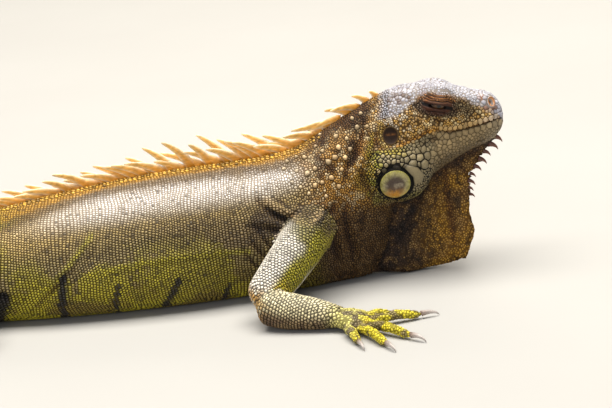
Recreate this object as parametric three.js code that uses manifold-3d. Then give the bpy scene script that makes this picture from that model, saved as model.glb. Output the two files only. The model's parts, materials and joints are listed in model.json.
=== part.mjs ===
// A life-size green iguana, an adult male, at rest on a flat floor: belly, hands, feet and tail down, neck and head raised.
// Millimetres, +X towards the snout, +Y to the animal's left, +Z up. The origin is on the floor, under the middle of the belly.
// The flesh is lofted from a few stations per part. Neighbouring parts are trimmed against each other, GAP apart.
import * as THREE from "three";
import { mergeVertices } from "three/addons/utils/BufferGeometryUtils.js";
import Module from "manifold-3d";

const wasm = await Module();
wasm.setup();

// ---- driving dimensions ----
const GAP = 0.3; // clearance between neighbouring parts
const FLOOR = 0; // level of every flat that the animal rests on
const CREST_PITCH = 7.8; // spacing of the spines along the back
const TAIL_CREST_PITCH = 20; // and along the tail
const SIDES = [
  { name: "right", y: -1 },
  { name: "left", y: 1 },
];

// ---- materials ----
const skin = (color, roughness = 0.55) => new THREE.MeshStandardMaterial({ color, roughness, metalness: 0 });
const LOOKS = {
  head: skin(0xb5ab93),
  jaw: skin(0xa89d80),
  neck: skin(0x8a6f3c),
  body: skin(0x9a9050),
  dewlap: skin(0x6b5130),
  tail: skin(0x7d7048),
  arm: skin(0xb9b183),
  hand: skin(0xb8b03a),
  leg: skin(0x8f8b52),
  shield: skin(0xb9b48a, 0.4),
  eardrum: skin(0x4a3a26, 0.35),
  eyelid: skin(0x6b4526),
  eye: skin(0x1c120b, 0.1),
  claw: skin(0xb9b4a6, 0.35),
};

// ---- small tools ----
// Smooth interpolation through rows of [at, value, value, ...], without overshoot between two rows.
function track(rows) {
  const sorted = [...rows].sort((a, b) => a[0] - b[0]);
  const slope = (i, k) => {
    if (i === 0 || i === sorted.length - 1) return 0;
    const [before, here, after] = [sorted[i - 1], sorted[i], sorted[i + 1]];
    const left = (here[k] - before[k]) / (here[0] - before[0]);
    const right = (after[k] - here[k]) / (after[0] - here[0]);
    return left * right <= 0 ? 0 : (2 * left * right) / (left + right);
  };
  return (at) => {
    const x = THREE.MathUtils.clamp(at, sorted[0][0], sorted.at(-1)[0]);
    const i = Math.max(0, sorted.findLastIndex((row, n) => n < sorted.length - 1 && row[0] <= x));
    const [a, b] = [sorted[i], sorted[i + 1]];
    const span = b[0] - a[0];
    const t = (x - a[0]) / span;
    return a.slice(1).map((value, n) => {
      const k = n + 1;
      const ease = t * t * (3 - 2 * t);
      const lean = slope(i, k) * t * (1 - t) * (1 - t) - slope(i + 1, k) * t * t * (1 - t);
      return value * (1 - ease) + b[k] * ease + lean * span;
    });
  };
}

const signedPower = (value, power) => Math.sign(value) * Math.abs(value) ** power;
const roundEnd = (distance, length) => Math.sqrt(1 - (1 - Math.min(1, distance / length)) ** 2);

// A geometry as a manifold solid, turned right side out.
function solid(geometry) {
  const bare = geometry.clone();
  bare.deleteAttribute("normal");
  bare.deleteAttribute("uv");
  const merged = mergeVertices(bare, 1e-4);
  const triVerts = new Uint32Array(merged.index.array);
  const build = () => new wasm.Manifold(new wasm.Mesh({
    numProp: 3,
    vertProperties: new Float32Array(merged.attributes.position.array),
    triVerts,
  }));
  const made = build();
  if (made.volume() > 0) return made;
  for (let i = 0; i < triVerts.length; i += 3) [triVerts[i + 1], triVerts[i + 2]] = [triVerts[i + 2], triVerts[i + 1]];
  return build();
}

const join = (pieces) => pieces.reduce((sum, piece) => sum.add(piece));
const cut = (base, ...tools) => tools.reduce((rest, tool) => rest.subtract(tool), base);

// A ball whose rows are stations along a part and whose columns run round it: place(t, angle) gives each point.
function loft(around, along, place) {
  const ball = new THREE.SphereGeometry(1, around, along);
  const [at, uv] = [ball.getAttribute("position"), ball.getAttribute("uv")];
  for (let i = 0; i < at.count; i++) {
    const t = Math.round((1 - uv.getY(i)) * along) / along;
    const pole = t === 0 || t === 1;
    const turn = pole ? 0 : Math.round(uv.getX(i) * around) % around;
    const p = place(t, (turn / around) * 2 * Math.PI, pole ? 0 : 1);
    at.setXYZ(i, p.x, p.y, p.z);
  }
  return solid(ball);
}

// ---- sections ----
// A section of the body: angle 0 is the ridge of the back, and the half-way angle is under the belly.
// waist is the height share of the widest level, crown is over 1 for a sharp ridge, base is under 1 for a flat belly.
function sectionPoint(s, angle, reach, grow) {
  const [up, out] = [Math.cos(angle), Math.sin(angle)];
  const widest = s.bottom + (s.top - s.bottom) * s.waist;
  const rise = up > 0 ? s.top + grow - widest : widest - s.bottom + grow;
  const [wide, tall] = up > 0 ? [s.crown, 0.55 + 0.45 * s.crown] : [s.base, 0.5 + 0.4 * s.base];
  return {
    side: reach * (s.half + grow) * signedPower(out, wide),
    z: widest + reach * rise * signedPower(up, tall),
  };
}

const named = ([top, bottom, half, waist, crown, base]) => ({ top, bottom, half, waist, crown, base });

// ---- spine, neck, trunk and tail ----
// The spine seen from above. A station is the distance forward of the origin, measured along it.
const NAPE = 190;
const TAIL_TIP = -1080;
const spineCurve = new THREE.CatmullRomCurve3(
  [
    [NAPE, 0], [100, 0], [0, 0], [-100, 0], [-200, 3], [-310, 24], [-410, 78], [-480, 164],
    [-500, 268], [-452, 364], [-356, 418], [-250, 420], [-160, 382],
  ].map(([x, y]) => new THREE.Vector3(x, y, 0)),
  false,
  "centripetal",
);
spineCurve.arcLengthDivisions = 800;
const spineLength = spineCurve.getLength();
const spineShare = (station) => THREE.MathUtils.clamp((NAPE - station) / Math.min(spineLength, NAPE - TAIL_TIP), 0, 1);

function spineFrame(station) {
  const share = spineShare(station) * Math.min(1, (NAPE - TAIL_TIP) / spineLength);
  const at = spineCurve.getPointAt(share);
  const back = spineCurve.getTangentAt(share);
  return { at, forward: back.clone().negate(), left: new THREE.Vector3(back.y, -back.x, 0) };
}

//   station, top, bottom, half width, waist, crown, base
const bodyTrack = track([
  [188, 124, 92, 15, 0.5, 1.0, 0.9],
  [178, 131, 60, 22, 0.5, 1.05, 0.9],
  [168, 126, 16, 24, 0.46, 1.1, 0.85],
  [156, 119.5, -1, 26, 0.4, 1.15, 0.8],
  [139, 111, -1.5, 31, 0.38, 1.2, 0.75],
  [122, 101, -1.8, 37, 0.38, 1.25, 0.7],
  [106, 95, -2, 42, 0.4, 1.3, 0.66],
  [80, 92, -2, 47, 0.4, 1.3, 0.64],
  [40, 90.5, -2, 53, 0.38, 1.3, 0.62],
  [0, 88, -2, 55, 0.37, 1.3, 0.6],
  [-45, 83, -2, 53, 0.37, 1.3, 0.6],
  [-90, 76.5, -2, 47, 0.38, 1.25, 0.62],
  [-125, 70, -1.8, 40, 0.4, 1.2, 0.66],
  [-160, 61, -1.5, 35, 0.42, 1.15, 0.7],
  [-200, 50, -1.2, 29, 0.44, 1.1, 0.75],
  [-260, 40, -1, 21.5, 0.45, 1.1, 0.78],
  [-360, 30.5, -0.8, 15.5, 0.45, 1.1, 0.8],
  [-500, 21.5, -0.6, 10.8, 0.45, 1.1, 0.8],
  [-680, 14.2, -0.5, 7, 0.45, 1.1, 0.8],
  [-860, 8.4, -0.4, 4.1, 0.45, 1.05, 0.85],
  [-1000, 5, -0.3, 2.4, 0.45, 1.0, 0.9],
  [TAIL_TIP, 3, -0.2, 1.4, 0.45, 1.0, 0.9],
]);
const bodyAt = (station) => named(bodyTrack(station));

// Rows lie closer together on the neck and trunk than along the tail.
const bodyStations = track([[0, NAPE - 2], [0.16, 125], [0.42, -130], [0.64, -420], [1, TAIL_TIP]]);

const BODY_MESH = [18, 38]; // columns round the body, rows along it

function bodySolid(around, along, grow = 0) {
  return loft(around, along, (t, angle, reach) => {
    const station = bodyStations(t)[0] + (t === 0 ? grow : 0);
    const frame = spineFrame(station);
    const s = sectionPoint(bodyAt(station), angle, reach, grow);
    const p = frame.at.clone().addScaledVector(frame.left, s.side);
    return p.setZ(Math.max(s.z, FLOOR - grow));
  });
}

// ---- crest ----
//   station, length of the spine, its rise as a share of that, its width at the foot
const crestTrack = track([
  [172, 7, 0.8, 4.4], [158, 22, 0.55, 5.4], [140, 27, 0.34, 6], [120, 28, 0.4, 6.4], [95, 28, 0.62, 6.4],
  [50, 28, 0.66, 6.4], [15, 27, 0.56, 6.2], [-20, 26, 0.46, 6], [-80, 23, 0.42, 5.6], [-140, 17, 0.42, 5],
  [-200, 12, 0.46, 4.6], [-340, 8, 0.5, 4], [-500, 5, 0.55, 3],
]);
const CREST_ROOT = 2.5; // depth of a spine's foot inside the back
const CREST_END = -480;

function crestStations() {
  const stations = [];
  for (let s = 172; s > -190; s -= CREST_PITCH) stations.push(s);
  for (let s = -196; s > CREST_END; s -= TAIL_CREST_PITCH) stations.push(s);
  return stations;
}

// One spine: a flattened cone that sweeps back along the line of the back and leans a little to one side.
function crestSpine(station, index) {
  const [length, lift, width] = crestTrack(station);
  const blade = new THREE.ConeGeometry(1, 1, 3, station > -190 ? 2 : 1);
  blade.translate(0, 0.5, 0);
  const at = blade.getAttribute("position");
  const { at: foot, forward, left } = spineFrame(station);
  const lean = 0.16 * Math.sin(index * 2.4) - 0.08;
  const reach = length * (0.94 + 0.14 * Math.sin(index * 1.7));
  for (let i = 0; i < at.count; i++) {
    const h = at.getY(i);
    const full = h < 1 ? (1 - h) ** -0.45 : 0; // keeps the blade broad to near its tip
    const back = reach * Math.sqrt(1 - lift * lift) * h ** 1.3;
    const along = (full * at.getX(i) * width) / 2 - back;
    const side = full * at.getZ(i) * 1.1 + lean * reach * h * h;
    const up = bodyAt(station - back).top - CREST_ROOT + (reach * lift * 1.3 + CREST_ROOT) * (h - 0.23 * h * h);
    const p = foot.clone().addScaledVector(forward, along).addScaledVector(left, side);
    at.setXYZ(i, p.x, p.y, up);
  }
  return solid(blade);
}

// ---- head ----
//   x, top, bottom, half width, waist, crown, base
const skullTrack = track([
  [164, 121, 84, 16, 0.5, 1.0, 0.9],
  [172, 128.5, 78, 22, 0.5, 0.95, 0.9],
  [184, 131.5, 78, 25.6, 0.5, 0.82, 0.9],
  [198, 131.5, 82, 25.4, 0.55, 0.74, 0.9],
  [212, 132.2, 88, 22, 0.58, 0.68, 0.9],
  [224, 128.5, 91, 19.5, 0.55, 0.7, 0.9],
  [231, 126, 92.5, 17.8, 0.52, 0.74, 0.9],
  [242, 123, 94, 15.2, 0.5, 0.8, 0.85],
  [250, 120.8, 96, 13.2, 0.48, 0.85, 0.85],
  [256, 116.5, 98, 10.8, 0.45, 0.9, 0.85],
  [260, 110, 100, 9, 0.4, 0.9, 0.9],
]);
const jawTrack = track([
  [184, 101, 60, 23, 0.6, 0.9, 0.9],
  [200, 102, 65, 24, 0.6, 0.85, 0.85],
  [212, 102.5, 72, 21.5, 0.6, 0.85, 0.8],
  [224, 103, 78.5, 18, 0.62, 0.8, 0.75],
  [236, 103, 83.5, 14.6, 0.64, 0.8, 0.75],
  [248, 103.5, 87.4, 11.4, 0.66, 0.8, 0.75],
  [255, 104, 91.5, 9.4, 0.66, 0.8, 0.8],
  [260, 103.6, 95, 7.6, 0.6, 0.9, 0.9],
]);

// A part of the head, with sections square to X and a rounded nose of the given length.
function headLoft(rows, from, to, nose, around, along, grow = 0) {
  return loft(around, along, (t, angle, reach) => {
    const ease = Math.sin((t * Math.PI) / 2) ** 0.8;
    const x = from - grow + (to - from + 2 * grow) * ease;
    const s = named(rows(x));
    const taper = roundEnd(Math.max(to + grow - x, 0), nose);
    const p = sectionPoint(s, angle, reach * taper, grow);
    return new THREE.Vector3(x, p.side, p.z);
  });
}

function ellipsoid(centre, radii, around, along, grow = 0) {
  const ball = new THREE.SphereGeometry(1, around, along);
  ball.scale(radii[0] + grow, radii[1] + grow, radii[2] + grow);
  ball.translate(...centre);
  return solid(ball);
}

const mirrored = (centre, side) => [centre[0], centre[1] * side, centre[2]];
// Each lump of the head lies at [forward, outward, up], with its three radii, and is repeated on both sides.
const JOWL = { at: [182, 16.5, 76.5], radii: [24.5, 17.5, 23.5] };
const BROW = { at: [211, 11.5, 125], radii: [16, 9.5, 7.8] };
const NOSTRIL = { at: [249.5, 7.2, 115.6], radii: [5, 5, 4.6] };

function headSolid(grow = 0) {
  const lumps = SIDES.flatMap(({ y }) => [
    ellipsoid(mirrored(JOWL.at, y), JOWL.radii, 12, 7, grow),
    ellipsoid(mirrored(BROW.at, y), BROW.radii, 10, 5, grow),
    ellipsoid(mirrored(NOSTRIL.at, y), NOSTRIL.radii, 6, 4, grow),
  ]);
  return join([
    headLoft(skullTrack, 163, 259.2, 8, 14, 11, grow),
    headLoft(jawTrack, 184, 259, 6, 12, 9, grow),
    ...lumps,
  ]);
}

// The mouth line seen from the side, from the lips to its corner, then the way down behind the jaw.
const MOUTH_LINE = [
  [264, 102.6], [252, 103], [240, 101.6], [229, 100.2], [219, 100], [210, 103.4], [203, 100], [198, 84], [196, 40], [264, 40],
];

// The room of the lower jaw: everything under the mouth line, moved up and back by the given amount.
function jawRoom(shift) {
  const outline = new THREE.Shape(MOUTH_LINE.map(([x, z]) => new THREE.Vector2(x - shift, z + shift)));
  const room = new THREE.ExtrudeGeometry(outline, { depth: 120, bevelEnabled: false });
  room.rotateX(Math.PI / 2);
  room.translate(0, 60, 0);
  return solid(room);
}

// ---- eyes, ears and cheek shields ----
const EYE = { at: [212.4, 14.2, 119.8], radius: 8 };
const LID_THICKNESS = 1.1;
const LID_SLIT = { length: 19, height: 2.4, tilt: -0.24 };
const EARDRUM = { at: [178.5, 23.2, 102.6], half: [5.4, 6.5], thick: 1.2, recess: 2.2 };
const SHIELD = { at: [178.4, 32.6, 70.4], radius: 11.4, thick: 2.4, tilt: 0.26, turn: 0.06 };

const eyeSolid = (side, grow = 0) => {
  const r = EYE.radius + grow;
  return ellipsoid(mirrored(EYE.at, side), [r, r, r], 10, 6);
};

// Upper and lower lid: a shell over the front of the eye, open at a narrow slit.
function eyelids(side) {
  const shell = cut(eyeSolid(side, GAP + LID_THICKNESS), eyeSolid(side, GAP));
  const front = new THREE.BoxGeometry(40, 20, 40);
  front.translate(EYE.at[0], side * (EYE.at[1] + 12), EYE.at[2]);
  const slit = new THREE.SphereGeometry(1, 8, 4);
  slit.scale(LID_SLIT.length / 2, 8, LID_SLIT.height / 2);
  slit.rotateY(-LID_SLIT.tilt);
  slit.translate(EYE.at[0], side * (EYE.at[1] + 9.5), EYE.at[2] - 0.8);
  return cut(shell.intersect(solid(front)), solid(slit));
}

// A round plate that faces outwards: used for the eardrum and for the hole that holds it.
function earPlate(side, thick, inset, grow) {
  const plate = new THREE.CylinderGeometry(1, 1, thick, 12);
  plate.scale(EARDRUM.half[0] + grow, 1, EARDRUM.half[1] + grow);
  plate.translate(EARDRUM.at[0], side * (EARDRUM.at[1] - inset + thick / 2), EARDRUM.at[2]);
  return solid(plate);
}

function shieldSolid(side, grow = 0) {
  const plate = new THREE.SphereGeometry(1, 14, 4);
  plate.rotateX(Math.PI / 2);
  const at = plate.getAttribute("position");
  for (let i = 0; i < at.count; i++) {
    const rim = Math.hypot(at.getX(i), at.getY(i));
    at.setZ(i, signedPower(at.getZ(i), 0.7) * (1 + 0.15 * (1 - rim)));
  }
  plate.scale(SHIELD.radius + grow, SHIELD.radius + grow, SHIELD.thick + grow);
  plate.rotateX(side * (Math.PI / 2 - SHIELD.tilt));
  plate.rotateZ(side * SHIELD.turn);
  plate.translate(...mirrored(SHIELD.at, side));
  return solid(plate);
}

// ---- dewlap ----
//   height, front edge, back edge, half thickness at the back
const dewlapTrack = track([
  [0, 224, 158, 15], [5, 228.5, 153, 16], [16, 232, 152, 16], [37, 233.8, 154, 15.5], [46, 232.8, 156, 15],
  [57, 230.8, 160, 13], [64, 233, 166, 12], [71, 237.6, 174, 11], [78, 243, 186, 9], [88, 251.5, 205, 6],
  [98, 254, 215, 4],
]);
const DEWLAP_TOP = 98;
const DEWLAP_EDGE = 1.7; // half thickness at the front edge
const DEWLAP_LEAN = 4.5; // how far its foot swings to the animal's right

const dewlapShift = (z) => -DEWLAP_LEAN * (1 - z / DEWLAP_TOP) ** 1.5;

function dewlapSheet() {
  return loft(12, 10, (t, angle, reach) => {
    const z = (DEWLAP_TOP * (1 + Math.cos(t * Math.PI))) / 2;
    const [front, back, thick] = dewlapTrack(z);
    const share = (1 + Math.cos(angle)) / 2;
    const x = (front + back) / 2 + (reach * (front - back) * Math.cos(angle)) / 2;
    const half = DEWLAP_EDGE + (thick - DEWLAP_EDGE) * (1 - share) ** 1.6;
    return new THREE.Vector3(x, reach * half * signedPower(Math.sin(angle), 0.8) + dewlapShift(z), z);
  });
}

// Soft teeth down the front edge, from under the chin.
function dewlapTeeth() {
  return Array.from({ length: 8 }, (_, i) => {
    const z = 87 - i * 5;
    const tooth = new THREE.ConeGeometry(4, 10, 3, 1);
    tooth.scale(1, 1, 0.45);
    tooth.rotateZ(-Math.PI / 2 - 0.3);
    tooth.translate(dewlapTrack(z)[0] + 1, dewlapShift(z), z);
    return solid(tooth);
  });
}

// ---- limbs ----
// A rounded bar along a curve through points; rows of radii are [share of the length, half width, half height].
function limb(points, radii, around, along, grow = 0) {
  const curve = new THREE.CatmullRomCurve3(points.map((p) => new THREE.Vector3(...p)), false, "centripetal");
  const size = track(radii);
  const length = curve.getLength();
  const up = new THREE.Vector3(0, 0, 1);
  return loft(around, along, (t, angle, reach) => {
    const share = (1 - Math.cos(t * Math.PI)) / 2;
    const at = curve.getPointAt(share);
    const ahead = curve.getTangentAt(share);
    const side = new THREE.Vector3().crossVectors(ahead, up).normalize();
    const top = new THREE.Vector3().crossVectors(side, ahead);
    const [wide, tall] = size(share);
    const ends = roundEnd(share * length, radii[0][1]) * roundEnd((1 - share) * length, radii.at(-1)[1]);
    const r = reach * ends;
    at.addScaledVector(side, Math.sin(angle) * (wide + grow) * r);
    at.addScaledVector(top, Math.cos(angle) * (tall + grow) * r);
    at.addScaledVector(ahead, (t === 0 ? -grow : 0) + (t === 1 ? grow : 0));
    return at.setZ(Math.max(at.z, FLOOR - grow));
  });
}

const heading = (degrees) => {
  const a = THREE.MathUtils.degToRad(degrees);
  return new THREE.Vector3(Math.cos(a), Math.sin(a), 0);
};
const list = (v) => [v.x, v.y, v.z];

// A hand or foot: a flat palm from the wrist, and five toes that fan out from it.
// Each toe is [heading, place across the palm, place along the palm, length, radius].
function footAxes(spec) {
  const ahead = heading(spec.heading);
  return { ahead, across: new THREE.Vector3(-ahead.y, ahead.x, 0) };
}

function palm(spec, grow = 0) {
  const [long, wide, tall] = spec.palm;
  const wrist = new THREE.Vector3(...spec.wrist);
  const at = (share, z) => list(wrist.clone().addScaledVector(footAxes(spec).ahead, long * share).setZ(z));
  return limb(
    [at(-0.55, wrist.z + 0.6), at(0.3, (wrist.z + tall) / 2), at(1, tall * 0.72)],
    [[0, spec.wristWide, spec.wristTall], [0.68, wide, tall], [1, wide * 0.9, tall * 0.72]],
    8, 5, grow,
  );
}

function toePoints(spec, [turn, acrossShare, alongShare, length, radius]) {
  const { ahead, across } = footAxes(spec);
  const root = new THREE.Vector3(...spec.wrist)
    .addScaledVector(ahead, alongShare * spec.palm[0])
    .addScaledVector(across, acrossShare * spec.palm[1]);
  const arch = (share, z) => list(root.clone().addScaledVector(heading(turn), length * share).setZ(z));
  return [arch(0, radius + 0.8), arch(0.45, radius + 2.2), arch(0.75, radius + 0.5), arch(1, radius * 0.8 - 0.35)];
}

const toeRadii = ([, , , , r]) => [[0, r * 1.1, r], [0.5, r, r * 0.95], [0.7, r * 0.86, r * 0.84], [1, r * 0.8, r * 0.8]];
const toe = (spec, row, grow = 0) => limb(toePoints(spec, row), toeRadii(row), 5, 4, grow);
const footSolid = (spec, grow = 0) => join([palm(spec, grow), ...spec.toes.map((row) => toe(spec, row, grow))]);

// A claw: a curved cone that leaves the tip of the toe and comes down to the floor.
function claw(spec, row) {
  const tip = new THREE.Vector3(...toePoints(spec, row).at(-1));
  const [turn, , , , r] = row;
  const at = (out, z) => list(tip.clone().addScaledVector(heading(turn), r * out).setZ(z));
  return limb(
    [at(-0.9, r * 0.9), at(0.9, r * 1.3), at(2.1, r), at(2.9, 0.6)],
    [[0, r * 0.45, r * 0.55], [0.5, r * 0.38, r * 0.46], [1, 0.5, 0.5]],
    4, 3,
  );
}

// The joints of each leg, from the body outwards: shoulder or hip, elbow or knee, wrist or ankle.
const ARM_RADII = { upper: [[0, 17, 18], [0.5, 15.8, 16.4], [1, 13, 13.4]], lower: [[0, 13, 13.2], [0.45, 12.4, 12.2], [1, 10.6, 7.4]] };
const LEG_RADII = { upper: [[0, 22, 23], [0.5, 20, 20], [1, 15, 15]], lower: [[0, 15, 15], [0.4, 14.4, 14], [1, 9.6, 8.2]] };
const HAND = { wristWide: 10.4, wristTall: 6.8, palm: [19, 12.2, 6] };
const FOOT = { wristWide: 9.4, wristTall: 7.4, palm: [38, 12.4, 6] };
const LIMBS = [
  {
    nodes: ["upper_arm_right", "forearm_right", "hand_right"], radii: ARM_RADII, look: LOOKS.arm,
    joints: [[125, -20, 50], [101, -66, 33], [76, -99, 14.2], [135, -120, 7.6]],
    foot: {
      ...HAND, wrist: [135, -120, 7], heading: -34,
      toes: [[25, 0.72, 0.3, 23, 3.5], [12, 0.48, 0.7, 37, 3.6], [-46, 0, 0.72, 42, 3.6], [-66, -0.45, 0.62, 41, 3.5],
        [-76, -0.78, 0.25, 30, 3.3]],
    },
  },
  {
    nodes: ["upper_arm_left", "forearm_left", "hand_left"], radii: ARM_RADII, look: LOOKS.arm,
    joints: [[125, 20, 50], [96, 62, 33], [69, 88, 14.2], [124, 114, 7.6]],
    foot: {
      ...HAND, wrist: [124, 114, 7], heading: 24,
      toes: [[-28, -0.72, 0.3, 23, 3.5], [-6, -0.48, 0.7, 37, 3.6], [22, 0, 0.74, 42, 3.6], [44, 0.48, 0.62, 41, 3.5],
        [70, 0.78, 0.25, 30, 3.3]],
    },
  },
  {
    nodes: ["thigh_right", "shin_right", "foot_right"], radii: LEG_RADII, look: LOOKS.leg,
    joints: [[-150, -22, 38], [-132, -62, 33], [-114, -97, 18], [-184, -113, 9.4]],
    foot: {
      ...FOOT, wrist: [-184, -113, 8], heading: -50,
      toes: [[-14, 0.74, 0.4, 28, 3.6], [-24, 0.5, 0.74, 44, 3.7], [-40, 0.14, 0.82, 60, 3.7], [-56, -0.3, 0.78, 75, 3.7],
        [-86, -0.72, 0.3, 44, 3.6]],
    },
  },
  {
    nodes: ["thigh_left", "shin_left", "foot_left"], radii: LEG_RADII, look: LOOKS.leg,
    joints: [[-150, 22, 38], [-128, 60, 33], [-106, 94, 18], [-171, 122, 9.4]],
    foot: {
      ...FOOT, wrist: [-171, 122, 8], heading: 44,
      toes: [[8, -0.74, 0.4, 28, 3.6], [20, -0.5, 0.74, 44, 3.7], [34, -0.14, 0.82, 60, 3.7], [50, 0.3, 0.78, 75, 3.7],
        [82, 0.72, 0.3, 44, 3.6]],
    },
  },
];

const upperLimb = (l, grow = 0) => limb(l.joints.slice(0, 3), l.radii.upper, 10, 5, grow);
const lowerLimb = (l, grow = 0) => limb(l.joints.slice(2), l.radii.lower, 10, 5, grow);

// ---- assembly ----
const iguana = new THREE.Group();

function addNode(name, manifold, material) {
  const bodies = manifold.decompose();
  const whole = bodies.sort((a, b) => b.volume() - a.volume())[0];
  const mesh = whole.getMesh();
  const at = new Float32Array(mesh.numVert * 3);
  for (let i = 0; i < mesh.numVert; i++) at.set(mesh.vertProperties.subarray(i * mesh.numProp, i * mesh.numProp + 3), i * 3);
  const geometry = new THREE.BufferGeometry();
  geometry.setAttribute("position", new THREE.BufferAttribute(at, 3));
  geometry.setIndex(new THREE.BufferAttribute(mesh.triVerts, 1));
  const node = new THREE.Mesh(geometry, material);
  node.name = name;
  iguana.add(node);
}

// A thin upright wall across the body at one station: what it removes parts two neighbours.
function partingWall(station) {
  const { at, forward } = spineFrame(station);
  const reach = bodyAt(station).half * 2 + 30;
  const wall = new THREE.BoxGeometry(GAP, reach, 400);
  wall.rotateZ(Math.atan2(forward.y, forward.x));
  wall.translate(at.x, at.y, 0);
  return solid(wall);
}

const headWhole = headSolid();
const headRoom = headSolid(GAP);
const bodyRoom = bodySolid(...BODY_MESH, GAP);

// Head, jaw and what sits in them.
const sockets = SIDES.flatMap(({ y }) => [
  eyeSolid(y, 2 * GAP + LID_THICKNESS),
  earPlate(y, EARDRUM.recess + 12, EARDRUM.recess, GAP),
  shieldSolid(y, GAP),
]);
const headHollowed = cut(headWhole, ...sockets);
addNode("head", cut(headHollowed, jawRoom(GAP)), LOOKS.head);
addNode("lower_jaw", headHollowed.intersect(jawRoom(0)), LOOKS.jaw);
for (const { name, y } of SIDES) {
  addNode("eye_" + name, eyeSolid(y), LOOKS.eye);
  addNode("eyelids_" + name, eyelids(y), LOOKS.eyelid);
  addNode("eardrum_" + name, earPlate(y, EARDRUM.thick, EARDRUM.recess - GAP, 0), LOOKS.eardrum);
  addNode("cheek_shield_" + name, shieldSolid(y), LOOKS.shield);
}
const dewlapWhole = join([dewlapSheet(), ...dewlapTeeth()]);
addNode("dewlap", cut(dewlapWhole, headRoom, bodyRoom, ...sockets), LOOKS.dewlap);

// Neck, trunk and tail: one lofted body with its crest, parted by upright walls.
const PARTINGS = [
  ["neck", 132, LOOKS.neck], ["chest", 62, LOOKS.body], ["belly", -104, LOOKS.body], ["hips", -186, LOOKS.body],
  ["tail_1", -330, LOOKS.tail], ["tail_2", -490, LOOKS.tail], ["tail_3", -660, LOOKS.tail], ["tail_4", -840, LOOKS.tail],
  ["tail_5", TAIL_TIP, LOOKS.tail],
];
const crested = join([bodySolid(...BODY_MESH), ...crestStations().map(crestSpine)]);
const lengths = cut(crested, headRoom, ...sockets,
  ...PARTINGS.slice(0, -1).map(([, station]) => partingWall(station))).decompose();
const order = lengths.filter((p) => p.volume() > 50).map((part) => {
  const box = part.boundingBox();
  const middle = new THREE.Vector3((box.min[0] + box.max[0]) / 2, (box.min[1] + box.max[1]) / 2, 0);
  const stations = Array.from({ length: 128 }, (_, i) => NAPE - i * 10);
  const nearest = stations.reduce((best, s) =>
    spineFrame(s).at.distanceTo(middle) < spineFrame(best).at.distanceTo(middle) ? s : best);
  return { part, nearest };
}).sort((a, b) => b.nearest - a.nearest);
PARTINGS.forEach(([name, , look], i) => addNode(name, order[i].part, look));

// Limbs, each trimmed by what carries it.
for (const l of LIMBS) {
  const [upper, lower, end] = l.nodes;
  const footRoom = footSolid(l.foot, GAP);
  addNode(upper, cut(upperLimb(l), bodyRoom), l.look);
  addNode(lower, cut(lowerLimb(l), upperLimb(l, GAP), bodyRoom), l.look);
  addNode(end, cut(footSolid(l.foot), lowerLimb(l, GAP)), LOOKS.hand);
  l.foot.toes.forEach((row, i) => addNode("claw_" + end + "_" + (i + 1), cut(claw(l.foot, row), footRoom), LOOKS.claw));
}

export default iguana;
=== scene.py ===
# %% [markdown]
# # A green iguana at rest
# The animal is built around a plain solid model of itself, which loads first and fixes every size. Over it
# come one smooth skin with folds, a coat of scales, and the hard parts: eyes, spines, claws, ear drums and
# cheek shields. Lengths are written in millimetres and turned to metres with MM, the scene's unit.

# %% Load the solid model
import json

import bmesh
import bpy
import numpy as np
from mathutils import Matrix, Vector
from mathutils.bvhtree import BVHTree
from mathutils.kdtree import KDTree

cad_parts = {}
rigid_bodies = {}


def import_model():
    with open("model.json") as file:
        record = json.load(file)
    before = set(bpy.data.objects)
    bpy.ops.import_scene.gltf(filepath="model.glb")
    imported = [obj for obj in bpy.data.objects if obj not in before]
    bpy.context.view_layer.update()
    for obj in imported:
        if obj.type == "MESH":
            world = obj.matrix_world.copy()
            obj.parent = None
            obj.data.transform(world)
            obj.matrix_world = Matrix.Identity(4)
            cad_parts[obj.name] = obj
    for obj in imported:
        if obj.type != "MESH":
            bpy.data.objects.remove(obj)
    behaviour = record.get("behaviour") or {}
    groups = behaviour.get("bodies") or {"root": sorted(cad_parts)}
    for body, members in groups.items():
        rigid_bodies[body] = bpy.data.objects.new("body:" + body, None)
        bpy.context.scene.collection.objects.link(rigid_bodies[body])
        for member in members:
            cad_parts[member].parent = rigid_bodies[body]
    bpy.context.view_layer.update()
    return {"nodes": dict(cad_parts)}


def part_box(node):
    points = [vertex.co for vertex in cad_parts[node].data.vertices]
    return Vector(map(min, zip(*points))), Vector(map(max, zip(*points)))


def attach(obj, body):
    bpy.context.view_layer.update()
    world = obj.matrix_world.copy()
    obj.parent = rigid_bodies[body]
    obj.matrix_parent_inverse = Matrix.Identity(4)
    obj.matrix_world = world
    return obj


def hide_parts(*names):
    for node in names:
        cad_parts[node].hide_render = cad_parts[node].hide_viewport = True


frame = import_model()

MM = 0.001
SIDES = {"right": -1, "left": 1}
HEAD_PARTS = ["head", "lower_jaw", "eyelids"]
TRUNK = ["neck", "chest", "belly", "hips"]
TAIL = [f"tail_{n}" for n in range(1, 6)]
LIMB_PARTS = {"arm": ("upper_arm", "forearm", "hand"), "leg": ("thigh", "shin", "foot")}
LIMBS = [f"{part}_{side}" for parts in LIMB_PARTS.values() for side in SIDES for part in parts]
LIDS = [f"eyelids_{side}" for side in SIDES]
FLESH = ["head", "lower_jaw", "dewlap", *TRUNK, *TAIL, *LIMBS, *LIDS]
print("solid nodes:", len(frame["nodes"]), "of which flesh:", len(FLESH))

# %% [markdown]
# ## Where things are along the body
# A lizard's body is measured along its spine. The line of the spine, seen from above, is a smooth curve
# through a few points, and a "station" is how far forward of the belly's middle a place lies along it. A
# second short table says how high the back is and how wide the body is at each station. Most later steps
# ask for places in these terms, so a pattern follows the body round the bend of the tail.

# %% Spine line and body table
SPINE_POINTS = np.array([
    [190, 0], [100, 0], [0, 0], [-100, 0], [-200, 3], [-310, 24], [-410, 78], [-480, 164], [-500, 268],
    [-452, 364], [-356, 418], [-250, 420], [-160, 382],
], float)
NAPE = 190.0
TAIL_TIP = -1080.0
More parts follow.
